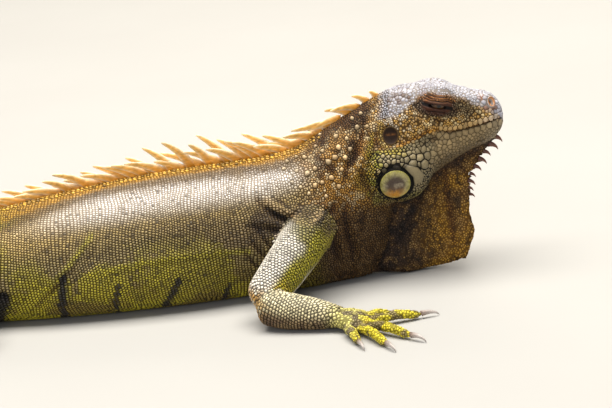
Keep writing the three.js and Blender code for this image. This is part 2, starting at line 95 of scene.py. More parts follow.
#   station, height of the back, half width
BODY_TABLE = np.array([
    [188, 124, 15], [178, 131, 22], [168, 126, 24], [156, 119.5, 26], [139, 111, 31], [122, 101, 37],
    [106, 95, 42], [80, 92, 47], [40, 90.5, 53], [0, 88, 55], [-45, 83, 53], [-90, 76.5, 47], [-125, 70, 40],
    [-160, 61, 35], [-200, 50, 29], [-260, 40, 21.5], [-360, 30.5, 15.5], [-500, 21.5, 10.8],
    [-680, 14.2, 7], [-860, 8.4, 4.1], [-1000, 5, 2.4], [TAIL_TIP, 3, 1.4],
])[::-1]


def spine_curve(points, steps=40):
    """Points on a centripetal Catmull-Rom curve through the given ones."""
    line = np.vstack([2 * points[0] - points[1], points, 2 * points[-1] - points[-2]])
    out = []
    for a, b, c, d in zip(line, line[1:], line[2:], line[3:]):
        first, middle, last = (np.linalg.norm(q - p) ** 0.5 for p, q in ((a, b), (b, c), (c, d)))
        leave = ((b - a) / first - (c - a) / (first + middle) + (c - b) / middle) * middle
        arrive = ((c - b) / middle - (d - b) / (middle + last) + (d - c) / last) * middle
        for t in np.linspace(0, 1, steps, endpoint=False):
            cubic = 2 * b - 2 * c + leave + arrive
            square = -3 * b + 3 * c - 2 * leave - arrive
            out.append(b + leave * t + square * t**2 + cubic * t**3)
    out.append(points[-1])
    return np.array(out)


def travelled_along(path):
    """How far along a path each of its points lies."""
    return np.concatenate([[0], np.cumsum(np.linalg.norm(np.diff(path, axis=0), axis=1))])


def unit(vectors):
    return vectors / np.maximum(np.linalg.norm(vectors, axis=-1, keepdims=True), 1e-9)


def point_tree(points):
    """A search tree that finds the nearest of some points."""
    tree = KDTree(len(points))
    for n, place in enumerate(points):
        tree.insert(place, n)
    tree.balance()
    return tree


def read_table(table, station):
    """The columns of a table at a station. Its first column holds the stations, from low to high."""
    return np.array([np.interp(station, table[:, 0], column) for column in table.T[1:]])


spine = spine_curve(SPINE_POINTS)
spine_station = NAPE - travelled_along(spine)
spine_ahead = unit(-np.gradient(spine, axis=0))
spine_table = np.column_stack([spine_station, spine, spine_ahead])[::-1]
spine_tree = point_tree([(x, y, 0) for x, y in spine])


def back_height(station):
    return read_table(BODY_TABLE, station)[0]


def half_width(station):
    return read_table(BODY_TABLE, station)[1]


def nearest_on_spine(points):
    return np.array([spine_tree.find((x, y, 0))[1] for x, y, _ in points.tolist()])


def along_body(points):
    """Station and sideways place (left is positive) of each point, in millimetres."""
    nearest = nearest_on_spine(points)
    ahead = spine_ahead[nearest]
    away = points[:, :2] - spine[nearest]
    forward = (away * ahead).sum(1)
    return spine_station[nearest] + forward, away[:, 1] * ahead[:, 0] - away[:, 0] * ahead[:, 1]


def spine_at(station):
    """Place and forward direction of the spine line at a station, seen from above."""
    x, y, *ahead = read_table(spine_table, station)
    return np.array([x, y]), unit(np.array(ahead))


print(f"spine line: {spine_station[0] - spine_station[-1]:.0f} mm, tip wanted at {NAPE - TAIL_TIP:.0f} mm")

# %% [markdown]
# ## Camera, floor and light
# A long lens from the animal's right side, a little above it, keeps the proportions true. The camera is
# rolled a few degrees. The room is plain: a pale floor, a broad soft light overhead that wets the upper
# scales with shine, and a weak fill from the camera's side, so that the throat and belly fall into shade.

# %% Camera
def add_object(name, data):
    piece = bpy.data.objects.new(name, data)
    bpy.context.scene.collection.objects.link(piece)
    return piece


CAMERA_TARGET = Vector((116.2, 0, 54.5)) * MM
CAMERA_DISTANCE = 1500 * MM
CAMERA_HEIGHT_ANGLE = 15
CAMERA_ROLL = -6
LENS = 126.05

camera = add_object("camera", bpy.data.cameras.new("camera"))
bpy.context.scene.camera = camera
height_angle = np.radians(CAMERA_HEIGHT_ANGLE)
to_camera = Vector((0, -np.cos(height_angle), np.sin(height_angle)))
camera.location = CAMERA_TARGET + to_camera * CAMERA_DISTANCE
facing = to_camera.to_track_quat("Z", "Y").to_matrix()
camera.rotation_euler = (facing @ Matrix.Rotation(np.radians(CAMERA_ROLL), 3, "Z")).to_euler()
camera.data.lens = LENS
camera.data.sensor_width = 36
camera.data.clip_end = 20
print("camera at", [round(c, 3) for c in camera.location])


# %% Colours and nodes
def linear(hex_colour):
    """An sRGB hex colour as linear RGB."""
    srgb = np.array([int(hex_colour[n:n + 2], 16) for n in (0, 2, 4)]) / 255
    return np.where(srgb <= 0.04045, srgb / 12.92, ((srgb + 0.055) / 1.055) ** 2.4)


def rgba(hex_colour):
    return (*linear(hex_colour), 1)


def add_node(tree, kind, links=None, **settings):
    """Adds a node. Settings are properties or input sockets, and links go from outputs to input sockets."""
    node = tree.nodes.new(kind)
    for name, value in settings.items():
        if hasattr(node, name):
            setattr(node, name, value)
        else:
            node.inputs[name.replace("_", " ")].default_value = value
    for socket, source in (links or {}).items():
        tree.links.new(source, node.inputs[socket])
    return node


def new_material(name):
    material = bpy.data.materials.new(name)
    material.use_nodes = True
    material.node_tree.nodes.clear()
    return material


def finish_material(material, shader):
    add_node(material.node_tree, "ShaderNodeOutputMaterial", {"Surface": shader.outputs["BSDF"]})
    return material


# %% Floor
FLOOR_SIZE = 12000 * MM


def floor_paint():
    """Matt floor paint: pale grey, rough, with very faint cloudiness from the roller."""
    material = new_material("matt_floor_paint")
    tree = material.node_tree
    place = add_node(tree, "ShaderNodeTexCoord")
    cloud = add_node(tree, "ShaderNodeTexNoise", {"Vector": place.outputs["Object"]}, Scale=3.0, Detail=4.0)
    tone = add_node(tree, "ShaderNodeValToRGB", {"Fac": cloud.outputs["Fac"]})
    tone.color_ramp.elements[0].color = rgba("a3a19d")
    tone.color_ramp.elements[1].color = rgba("abaaa6")
    shader = add_node(tree, "ShaderNodeBsdfPrincipled", {"Base Color": tone.outputs["Color"]}, Roughness=0.75)
    return finish_material(material, shader)


def new_object(name, bm, material=None, smooth=True):
    """Turns a bmesh into an object at the origin."""
    mesh = bpy.data.meshes.new(name)
    bm.to_mesh(mesh)
    bm.free()
    if smooth:
        mesh.shade_smooth()
    if material:
        mesh.materials.append(material)
    return add_object(name, mesh)


bm = bmesh.new()
bmesh.ops.create_grid(bm, x_segments=2, y_segments=2, size=FLOOR_SIZE / 2)
floor = new_object("floor", bm, floor_paint(), smooth=False)


# %% Lights
def softbox(name, place, aim, size, power, colour):
    lamp = bpy.data.lights.new(name, "AREA")
    lamp.shape = "RECTANGLE"
    lamp.size, lamp.size_y = (side * MM for side in size)
    lamp.energy = power
    lamp.color = linear(colour)
    holder = add_object(name, lamp)
    holder.location = Vector(place) * MM
    holder.rotation_euler = (Vector(place) - Vector(aim)).to_track_quat("Z", "Y").to_euler()


softbox("overhead_softbox", (0, 120, 3000), (0, 40, 0), (4000, 2200), 250, "fffaf2")
softbox("side_fill", (-600, -3800, 1400), (40, 0, 40), (2800, 1800), 46, "f4f4fa")
softbox("back_rim", (600, 3000, 1800), (60, 0, 60), (2800, 1200), 48, "fff4e2")

world = bpy.data.worlds.new("pale_room")
bpy.context.scene.world = world
world.use_nodes = True
background = world.node_tree.nodes["Background"].inputs
background["Color"].default_value = rgba("d8dde4")
background["Strength"].default_value = 0.34
bpy.context.scene.view_settings.view_transform = "Standard"

# %% [markdown]
# ## The skin
# Under its scales an iguana wears one loose skin, with no seam where a leg or the head joins the body. The
# solid model is made of many separate plain parts, so their copies are joined, and a voxel remesh wraps the
# whole in one even net. The crest spines are taken off first, because they grow from the skin as pieces of
# their own. The net is then relaxed, strongly on the trunk, gently on the toes, until the flat facets of
# the solids are gone.

# %% Join copies of the flesh, without crest spines
VOXEL = 1.5 * MM
SPINE_CLEARANCE = 1.3
CREST_REACH = 14
SWELL = 0.28 * MM


def swollen_copy(nodes, bare_back=False):
    """The nodes' solids as one bmesh, each grown a little, so that the hairline gaps between them close."""
    bm = bmesh.new()
    for node in nodes:
        bm.from_mesh(frame["nodes"][node].data)
    bmesh.ops.remove_doubles(bm, verts=bm.verts, dist=0.01 * MM)
    if bare_back:
        bm.verts.ensure_lookup_table()
        places = np.array([v.co for v in bm.verts]) / MM
        station, sideways = along_body(places)
        on_spine = (places[:, 2] > back_height(station) + SPINE_CLEARANCE) & (np.abs(sideways) < CREST_REACH)
        bmesh.ops.delete(bm, geom=[bm.verts[n] for n in np.flatnonzero(on_spine)], context="VERTS")
        bmesh.ops.holes_fill(bm, edges=[e for e in bm.edges if e.is_boundary], sides=0)
        bmesh.ops.edgenet_fill(bm, edges=[e for e in bm.edges if e.is_boundary])
        bmesh.ops.triangulate(bm, faces=bm.faces)
        bmesh.ops.recalc_face_normals(bm, faces=bm.faces)
        print("crest corners taken off:", on_spine.sum())
    bm.normal_update()
    for corner in bm.verts:
        corner.co += corner.normal * SWELL
    print("open edges in the copy:", sum(e.is_boundary for e in bm.edges))
    return bm


# %% Wrap it in one even net
def apply_modifiers(piece):
    """Replaces a piece's mesh by the result of its modifiers."""
    graph = bpy.context.evaluated_depsgraph_get()
    mesh = bpy.data.meshes.new_from_object(piece.evaluated_get(graph))
    piece.modifiers.clear()
    old = piece.data
    piece.data = mesh
    bpy.data.meshes.remove(old)
    return mesh


skin = new_object("skin", swollen_copy([*TRUNK, *TAIL], bare_back=True))
rest = swollen_copy([n for n in FLESH if n not in (*TRUNK, *TAIL)])
rest.from_mesh(skin.data)
rest.to_mesh(skin.data)
rest.free()
wrap = skin.modifiers.new("wrap", "REMESH")
wrap.mode = "VOXEL"
wrap.voxel_size = VOXEL
apply_modifiers(skin)


def keep_largest(bm):
    """Deletes everything but the largest connected shell, such as bubbles left inside."""
    unseen = set(bm.verts)
    shells = []
    while unseen:
        stack = [unseen.pop()]
        shell = list(stack)
        while stack:
            for edge in stack.pop().link_edges:
                for corner in edge.verts:
                    if corner in unseen:
                        unseen.remove(corner)
                        stack.append(corner)
                        shell.append(corner)
        shells.append(shell)
    shells.sort(key=len, reverse=True)
    bmesh.ops.delete(bm, geom=[v for shell in shells[1:] for v in shell], context="VERTS")
    return [len(shell) for shell in shells]


bm = bmesh.new()
bm.from_mesh(skin.data)
print("shells of the net, in corners:", keep_largest(bm)[:8])

# %% [markdown]
# ## Names for the places on the skin
# Every corner of the net takes the name of the solid part that lies nearest to it. The name decides how
# strongly the corner is relaxed, which scales grow there, and which colours it has.

# %% Nearest part
nearest_solid = []
solid_corners = []
solid_faces = []
for part_number, node in enumerate(FLESH):
    mesh = frame["nodes"][node].data
    start = len(solid_corners)
    solid_corners.extend(v.co.copy() for v in mesh.vertices)
    solid_faces.extend([start + n for n in face.vertices] for face in mesh.polygons)
    nearest_solid.extend([part_number] * len(mesh.polygons))
solid_tree = BVHTree.FromPolygons(solid_corners, solid_faces)


def part_at(points):
    """The number in FLESH of the solid part nearest to each point, given in millimetres."""
    return np.array([nearest_solid[solid_tree.find_nearest(p)[2]] for p in (points * MM).tolist()])


def plain_name(node):
    """The name of a part without its side."""
    return node.rsplit("_right")[0].rsplit("_left")[0]


def is_part(numbers, *names):
    """True where a part number stands for one of the names, on either side."""
    return np.isin(numbers, [n for n, part in enumerate(FLESH) if plain_name(part) in names])


# %% Relax the net
def read_rows(items, name, kind=np.float32, width=3):
    """One attribute of every item of a mesh, as an array with a row for each."""
    flat = np.empty(len(items) * width, kind)
    items.foreach_get(name, flat)
    return flat.reshape(-1, width)


def read_corners(mesh):
    return read_rows(mesh.vertices, "co").astype(float) / MM


def read_normals(mesh):
    return read_rows(mesh.vertex_normals, "vector").astype(float)


def write_corners(mesh, points):
    mesh.vertices.foreach_set("co", (points * MM).astype(np.float32).ravel())
    mesh.update()


def relax(mesh, strength, rounds):
    """Moves each corner towards the middle of its neighbours. strength goes from 0 to 1 for each corner."""
    points = read_corners(mesh)
    a, b = read_rows(mesh.edges, "vertices", np.int32, 2).T
    count = np.bincount(a, minlength=len(points)) + np.bincount(b, minlength=len(points))
    for _ in range(rounds):
        for k in range(3):
            total = np.bincount(a, points[b, k], len(points)) + np.bincount(b, points[a, k], len(points))
            points[:, k] += strength * (total / count - points[:, k])
    write_corners(mesh, points)


def ramp(value, low, high):
    """0 below low, 1 above high, and a smooth rise between."""
    t = np.clip((value - low) / (high - low), 0, 1)
    return t * t * (3 - 2 * t)


def fall(value, low, high):
    return 1 - ramp(value, low, high)


#  how strongly each part is relaxed, where that isn't 0.5
EASE = [
    (("head", "lower_jaw", "forearm", "shin"), 0.3),
    (("dewlap",), 0.2),
    (("eyelids",), 0.05),
    (("hand", "foot"), 0.03),
]
bm.to_mesh(skin.data)
bm.free()
points = read_corners(skin.data)
part = part_at(points)
station, sideways = along_body(points)
ease = np.full(len(points), 0.5)
for names, share in EASE:
    ease[is_part(part, *names)] = share
on_tail = is_part(part, *TAIL)
ease[on_tail] = np.interp(station[on_tail], [-700, -300, -190], [0.03, 0.25, 0.5])
ROUNDS_OF_RELAXING = 36
relax(skin.data, ease, ROUNDS_OF_RELAXING)

# %% Bring the tail back to its true section
# Relaxing thins what is slender, so the tail's corners go back to the height and width of the table.
points = read_corners(skin.data)
station, sideways = along_body(points)
FULL_FIT, NO_FIT = -330, -230
WAIST = 0.45
fit = np.where(on_tail, fall(station, FULL_FIT, NO_FIT), 0)
waist = back_height(station) * WAIST
rise = np.where(points[:, 2] > waist, back_height(station) - waist, waist + 0.3)
up, out = (points[:, 2] - waist) / rise, sideways / half_width(station)
scale = 1 / np.maximum(np.hypot(up, out), 1e-3)
scale = 1 + fit * (np.clip(scale, 0.5, 2.5) - 1)
scale = np.where(station < TAIL_TIP + 8, 1, scale)
_, _, ahead_x, ahead_y = read_table(spine_table, station)
shift = sideways * (scale - 1)
points[:, 0] -= ahead_y * shift
points[:, 1] += ahead_x * shift
points[:, 2] = np.maximum(waist + (points[:, 2] - waist) * scale, 0.4)
write_corners(skin.data, points)
print("tail fitted:", int((fit > 0.5).sum()), "corners")

# %% The places of the face
# They are forward and upward millimetres, seen from the side, and serve both sides of the head.
EYE = (212.4, 119.8)
EYE_TURN = np.radians(-13)
ORBIT = (15.5, 9.5)
EAR = (178.5, 102.6)
EAR_FLAP = [[172.8, 111], [171.6, 105], [172, 99], [175, 95.5]]
SHIELD = (178.4, 70.4)
SHIELD_RADIUS = 10.9
NOSTRIL = (250.2, 116.0)
MOUTH = np.array([
    [262, 102.9], [252, 103.3], [240.8, 101.6], [229.7, 100.2], [218.8, 99.9], [213.3, 101.2],
    [209.6, 103.2],
])
MOUTH_FOLD = np.array([[209.6, 103.2], [203, 101.6], [196.9, 99], [187.6, 96.1], [183, 95]])
LID_SLIT = [[202.8, 122.2], [207.5, 120.2], [212.2, 119.1], [217, 117.9], [221.6, 116.3]]


def path_distance(points, path):
    """Distance of each point from a line seen from the side, and how far along it that is, from 0 to 1."""
    at, path = points[:, [0, 2]], np.array(path)
    lengths = np.linalg.norm(np.diff(path, axis=0), axis=1)
    start = travelled_along(path)
    best = np.full(len(points), 1e9)
    along = np.zeros(len(points))
    for n, (a, b) in enumerate(zip(path, path[1:])):
        t = np.clip(((at - a) @ (b - a)) / lengths[n] ** 2, 0, 1)
        away = np.linalg.norm(at - a - t[:, None] * (b - a), axis=1)
        closer = away < best
        best[closer] = away[closer]
        along[closer] = ((start[n] + t * lengths[n]) / start[-1])[closer]
    return best, along


def spot_distance(points, spot):
    return np.hypot(points[:, 0] - spot[0], points[:, 2] - spot[1])


def ear_measure(points, half_length, half_height):
    return np.hypot((points[:, 0] - EAR[0]) / half_length, (points[:, 2] - EAR[1]) / half_height)


def off_centre(points, least):
    """True where a point is farther than that from the plane between right and left."""
    return np.abs(points[:, 1]) > least


def eye_measure(points):
    """Distance from the eye's middle as a share of the slanting orbit, and how far above its long axis."""
    forward, up = points[:, 0] - EYE[0], points[:, 2] - EYE[1]
    long_way = forward * np.cos(EYE_TURN) + up * np.sin(EYE_TURN)
    short_way = up * np.cos(EYE_TURN) - forward * np.sin(EYE_TURN)
    return np.hypot(long_way / ORBIT[0], short_way / ORBIT[1]), short_way


# %% Refine the net round the eyes, mouth, ears and nostrils
# The cheek between ear, mouth and shield is relaxed once more first, so that its lumps run into one another.
points = read_corners(skin.data)
softer = fall(spot_distance(points, (186, 99)), 12, 22) + fall(spot_distance(points, (178, 118)), 8, 16)
relax(skin.data, np.clip(0.5 * softer, 0, 0.5), 60)


def subdivide_where(mesh, wanted, smooth):
    bm = bmesh.new()
    bm.from_mesh(mesh)
    chosen = set(np.flatnonzero(wanted).tolist())
    edges = [e for e in bm.edges if e.verts[0].index in chosen and e.verts[1].index in chosen]
    bmesh.ops.subdivide_edges(bm, edges=edges, cuts=1, use_grid_fill=True, smooth=smooth)
    bmesh.ops.triangulate(bm, faces=[f for f in bm.faces if len(f.verts) > 4])
    bm.to_mesh(mesh)
    bm.free()


points = read_corners(skin.data)
detail = path_distance(points, MOUTH)[0] < 5
for spot, reach in ((EYE, 18), (NOSTRIL, 7), (EAR, 9)):
    detail |= spot_distance(points, spot) < reach
subdivide_where(skin.data, detail & (points[:, 0] > 165), 0.6)
points = read_corners(skin.data)
lids = (eye_measure(points)[0] < 1.0) & off_centre(points, 14)
subdivide_where(skin.data, lids, 0.3)
print("skin net:", len(skin.data.vertices), "corners")

# %% [markdown]
# ## Folds, lids and lips
# Real skin is too large for what it covers, so it folds where the body bends. Each fold here is a line
# drawn on the side of the animal, and the skin rises along it and sinks beside it. Pushing the corners of a
# fine net along their normals does in code what a sculpting brush does by hand, and both flanks can share
# one line.

# %% Sculpting brushes
def bump(distance, width):
    """1 at no distance, with a smooth fall to nearly 0 at twice the width."""
    return np.exp(-((distance / width) ** 2))


def blot(points, spot, width):
    return bump(spot_distance(points, spot), width)


def stroke(points, path, width):
    return bump(path_distance(points, path)[0], width)


def signed_path_distance(points, path):
    """Like path_distance, and positive to the right of the path, seen from the animal's right."""
    best, along = path_distance(points, path)
    lengths = np.linalg.norm(np.diff(path, axis=0), axis=1)
    start = np.concatenate([[0], np.cumsum(lengths)]) / lengths.sum()
    n = np.clip(np.searchsorted(start, along, side="right") - 1, 0, len(path) - 2)
    run = (path[1:] - path[:-1])[n]
    off = points[:, [0, 2]] - path[n]
    return best * np.where(run[:, 0] * off[:, 1] - run[:, 1] * off[:, 0] > 0, -1, 1), along


def smooth_path(path):
    return spine_curve(np.asarray(path, float), steps=8)


JAW_LINE = np.vstack([MOUTH, MOUTH_FOLD[1:], [[168, 93.5]]])


def below_jaw_line(points):
    """How far each point lies below the line of the mouth and of the fold behind it, in millimetres."""
    return -signed_path_distance(points, JAW_LINE)[0]


class Clay:
    """The skin while it is sculpted: its corners, normals and part numbers, all as arrays."""

    def __init__(self, mesh):
        self.mesh = mesh
        self.part = part_at(read_corners(mesh))
        self.refresh(read_corners(mesh))

    def refresh(self, points):
        write_corners(self.mesh, points)
        self.points = points
        self.normals = read_normals(self.mesh)
        self.side = ramp(np.abs(self.normals[:, 1]), 0.12, 0.45)

    def push(self, amount):
        self.refresh(self.points + self.normals * amount[:, None])


clay = Clay(skin.data)

# %% Cloudy noise
def cloud(points, size, seed):
    """Smooth noise from 0 to 1 at each point, with lumps about the given size in millimetres."""
    lattice = np.random.default_rng(seed).random((32, 32, 32))
    at = points / size + 1000
    low = np.floor(at).astype(int)
    t = at - low
    t = t * t * (3 - 2 * t)
    total = np.zeros(len(points))
    for corner in np.ndindex(2, 2, 2):
        weight = np.prod(np.where(corner, t, 1 - t), axis=1)
        i, j, k = ((low + corner) % 32).T
        total += weight * lattice[i, j, k]
    return total


# %% Body folds
# Each fold is a line of forward and upward millimetres, its width, and how far it stands up.
FLANK_RIDGE = [[-34, 35], [-3.5, 39], [27, 40.8], [55, 40], [74, 38]]
GROIN_FOLD = [[-86, 10], [-68, 26], [-52.7, 38], [-31.4, 59]]
BODY_FOLDS = [
    ([[168, 114], [162.3, 97.5], [157, 87], [147.5, 73]], 3.2, 1.7),
    ([[164, 96], [161, 86], [161.5, 76], [167.5, 60]], 2.6, 1.3),
    ([[88, 69], [98, 62], [108, 57], [117, 52.5], [127, 56], [134, 65]], 2.4, 3.2),
    ([[76, 58], [88, 55], [102, 51], [114, 47]], 2.4, 1.3),
    ([[102, 66], [110, 60], [117, 57]], 2.0, 0.8),
    ([[150, 62], [147, 46], [150, 28], [148, 12]], 3.5, 1.8),
    ([[139, 50], [137, 36], [141, 18]], 3.2, 1.5),
    ([[78, 52], [83, 41], [92, 30]], 2.2, 1.2),
    ([[84, 54], [90, 43], [98, 33]], 2.2, 1.2),
    ([[72, 46], [77, 35], [86, 24]], 2.2, 1.1),
    (FLANK_RIDGE, 2.2, 0.5),
    (GROIN_FOLD, 2.4, 1.0),
    ([[-60, 22], [-46, 36], [-25, 63]], 2.2, 0.6),
    ([[-112, 34], [-97, 30], [-87, 25]], 2.6, 1.4),
]
on_trunk = is_part(clay.part, *TRUNK)
amount = np.zeros(len(clay.points))
for path, width, height in BODY_FOLDS:
    off, along = signed_path_distance(clay.points, smooth_path(path))
    fade = np.sin(np.pi * np.clip(along, 0.02, 0.98)) ** 0.6
    amount += fade * height * (bump(off, width) - 0.9 * bump(off - 1.5 * width, width))
clay.push(1.35 * amount * clay.side * on_trunk)
relax(skin.data, 0.35 * on_trunk * ramp(np.abs(amount), 0.02, 0.2), 3)
clay.refresh(read_corners(skin.data))

# The throat fan: soft folds that run down and back from under the chin.
FAN_TOP = (214, 88)
on_fan = is_part(clay.part, "dewlap")
spread = np.arctan2(FAN_TOP[1] - clay.points[:, 2], clay.points[:, 0] - FAN_TOP[0])
wave = np.sin(spread * 11) + 0.6 * np.sin(spread * 23 + 1.3)
clay.push(0.85 * wave * ramp(spot_distance(clay.points, FAN_TOP), 8, 45) * on_fan * clay.side)
print("folds on the body:", len(BODY_FOLDS))

# %% Wrinkles of the eyelids
def lid_wrinkles(points):
    """Height in millimetres of a smooth roll on either side of the slit and of finer wrinkles beyond it."""
    slit, _ = path_distance(points, LID_SLIT)
    orbit, _ = eye_measure(points)
    uneven = cloud(points, 4, 8) - 0.5
    out = slit + 1.2 * uneven
    roll = 0.7 * bump(slit - 2.1, 0.95) - 0.4 * bump(out - 3.6, 0.5)
    waves = 0.2 * np.sin(2 * np.pi * (out - 3.9) / 1.5) * ramp(out, 3.7, 4.4)
    return roll * fall(orbit, 0.55, 0.75) + waves * fall(orbit, 0.8, 1.25) * (0.7 + uneven)


# %% Face
BROW_RIDGE = [[224, 123.5], [236, 120.5], [246, 120]]
on_head = is_part(clay.part, *HEAD_PARTS, "neck") * ramp(clay.points[:, 0], 168, 174)
orbit, above = eye_measure(clay.points)
amount = -1.2 * bump(orbit - 1.05, 0.26) * np.where(above > 0, 0.5, 1)
amount += 0.8 * bump(orbit - 1.45, 0.22) * ramp(above, 1, 5)
amount -= 1.5 * blot(clay.points, (236, 111), 7)
amount += 0.7 * stroke(clay.points, BROW_RIDGE, 2.5)
amount += 0.9 * blot(clay.points, (194, 112), 8)
clay.push(amount * clay.side * on_head)

# Lips, the fold behind the corner of the mouth, and the rim of the nostril.
mouth = path_distance(clay.points, MOUTH)[0]
off, along = signed_path_distance(clay.points, MOUTH_FOLD)
amount = 0.6 * bump(mouth - 2.6, 1.6) - 0.9 * bump(mouth, 0.8)
amount += (1 - 0.7 * along) * ramp(along, 0, 0.1) * (0.7 * bump(off + 1.3, 1.6) - 0.7 * bump(off - 0.9, 1.2))
nostril = spot_distance(clay.points, NOSTRIL)
amount += 0.5 * bump(nostril - 4.2, 1.3) - 2.4 * bump(nostril, 2.1)
clay.push(amount * clay.side * on_head)

# The ear drum lies in a shallow pit, and a groove runs round the cheek shield.
ear = ear_measure(clay.points, 5.6, 6.8)
shield = spot_distance(clay.points, SHIELD)
amount = 0.5 * bump(ear - 1.3, 0.2) - 2.2 * fall(ear, 0.7, 1.05) * off_centre(clay.points, 15)
amount -= 1.4 * bump(shield - SHIELD_RADIUS - 1.0, 1.3) * ~on_fan
amount += 1.1 * stroke(clay.points, EAR_FLAP, 1.5) * off_centre(clay.points, 15)
clay.push(amount * clay.side)

# The lids: wrinkles that follow the slit, a crease along it, and an opening on the eyeball in its middle.
EYEBALL_REACH = 20.0
slit, along = path_distance(clay.points, LID_SLIT)
orbit, above = eye_measure(clay.points)
clay.push(lid_wrinkles(clay.points) * clay.side * on_head)
middle = 1 - ((along - 0.5) / 0.31) ** 2
opened = fall(slit / (1.5 * np.sqrt(np.clip(middle, 1e-4, 1))), 0.8, 1.1) * (middle > 0) * on_head
points = clay.points.copy()
points[:, 1] -= np.sign(points[:, 1]) * opened * np.maximum(np.abs(points[:, 1]) - EYEBALL_REACH, 0)
clay.refresh(points)
print("corners in the open slits:", int((opened > 0.5).sum()))

# %% Thin the net where no detail needs it
BODY_SHARE_KEPT = 0.5
group = skin.vertex_groups.new(name="coarser")
fine = (on_head > 0.01) | is_part(clay.part, *HEAD_PARTS, "hand", "foot")
fine |= spot_distance(clay.points, (112, 56)) < 28
group.add(np.flatnonzero(~fine).tolist(), 1.0, "REPLACE")
thin = skin.modifiers.new("thin", "DECIMATE")
thin.ratio = BODY_SHARE_KEPT
thin.vertex_group = group.name
apply_modifiers(skin)
skin.vertex_groups.clear()
print("skin:", sum(len(f.vertices) - 2 for f in skin.data.polygons), "triangles")
skin.data.shade_smooth()

# %% [markdown]
# ## Colours of the skin
# A grown male's colours run in zones: a pale head, a gold-brown neck, an olive trunk with a golden row
# under the crest, dark bars low on the flank, cream arms with a lime inner edge, and yellow hands. One
# function answers with the colour of any place, from where it lies along and around the body. The skin and
# the scales both ask it, so they always agree. A three-dimensional noise adds the mottling.

# %% Places that colours follow
LIMB_JOINTS = {
    "arm_right": [[125, -20, 50], [101, -66, 33], [76, -99, 14.2], [135, -120, 7.6]],
    "arm_left": [[125, 20, 50], [96, 62, 33], [69, 88, 14.2], [124, 114, 7.6]],
    "leg_right": [[-150, -22, 38], [-132, -62, 33], [-114, -97, 18], [-184, -113, 9.4]],
    "leg_left": [[-150, 22, 38], [-128, 60, 33], [-106, 94, 18], [-171, 122, 9.4]],
}
LIMB_JOINTS = {name: np.array(joints, float) for name, joints in LIMB_JOINTS.items()}
FLANK_BARS = [
    ([[-53, 34], [-56, 18], [-57, 2]], 3.6),
    ([[-16, 25], [-19.5, 14], [-19, 2]], 2.6),
    ([[25, 24], [19, 15], [13, 5]], 2.8),
    ([[58.5, 16], [56, 10], [53, 3]], 2.4),
    ([[-96, 22], [-101, 12], [-104, 2]], 6.5),
]
SHOULDER_HOLLOW = [[86, 55], [98, 50], [110, 47], [122, 50]]
SHOULDER_FLAP = np.array([[90, 67.5], [99, 61], [108, 56.5], [117, 53.5], [127, 58], [133, 66]])


# %% Coats of colour
def cover(under, over, weight):
    """Lays a colour, or one for each point, over others. weight is clipped to 0 to 1."""
    weight = np.clip(weight, 0, 1)[:, None]
    return under * (1 - weight) + over * weight


class Layers:
    """Coats of colour over a base coat. Each coat has a weight from 0 to 1 at every point."""

    def __init__(self, points, base):
        self.colours = np.tile(linear(base), (len(points), 1))

    def __call__(self, tone, weight):
        self.colours = cover(self.colours, linear(tone), weight)
        return self.colours


# %% Colours of the trunk and tail
def pale_band_and_sheen(share, station):
    """The pale band along the upper flank, pale scales under a painted sheen of the overhead light, by its
    height share and by its place along the body.
    """
    upper = ramp(share, 0.70, 0.86) * fall(share, 0.985, 1.0)
    return upper, ramp(station, -110, -30) * fall(station, 100, 135)


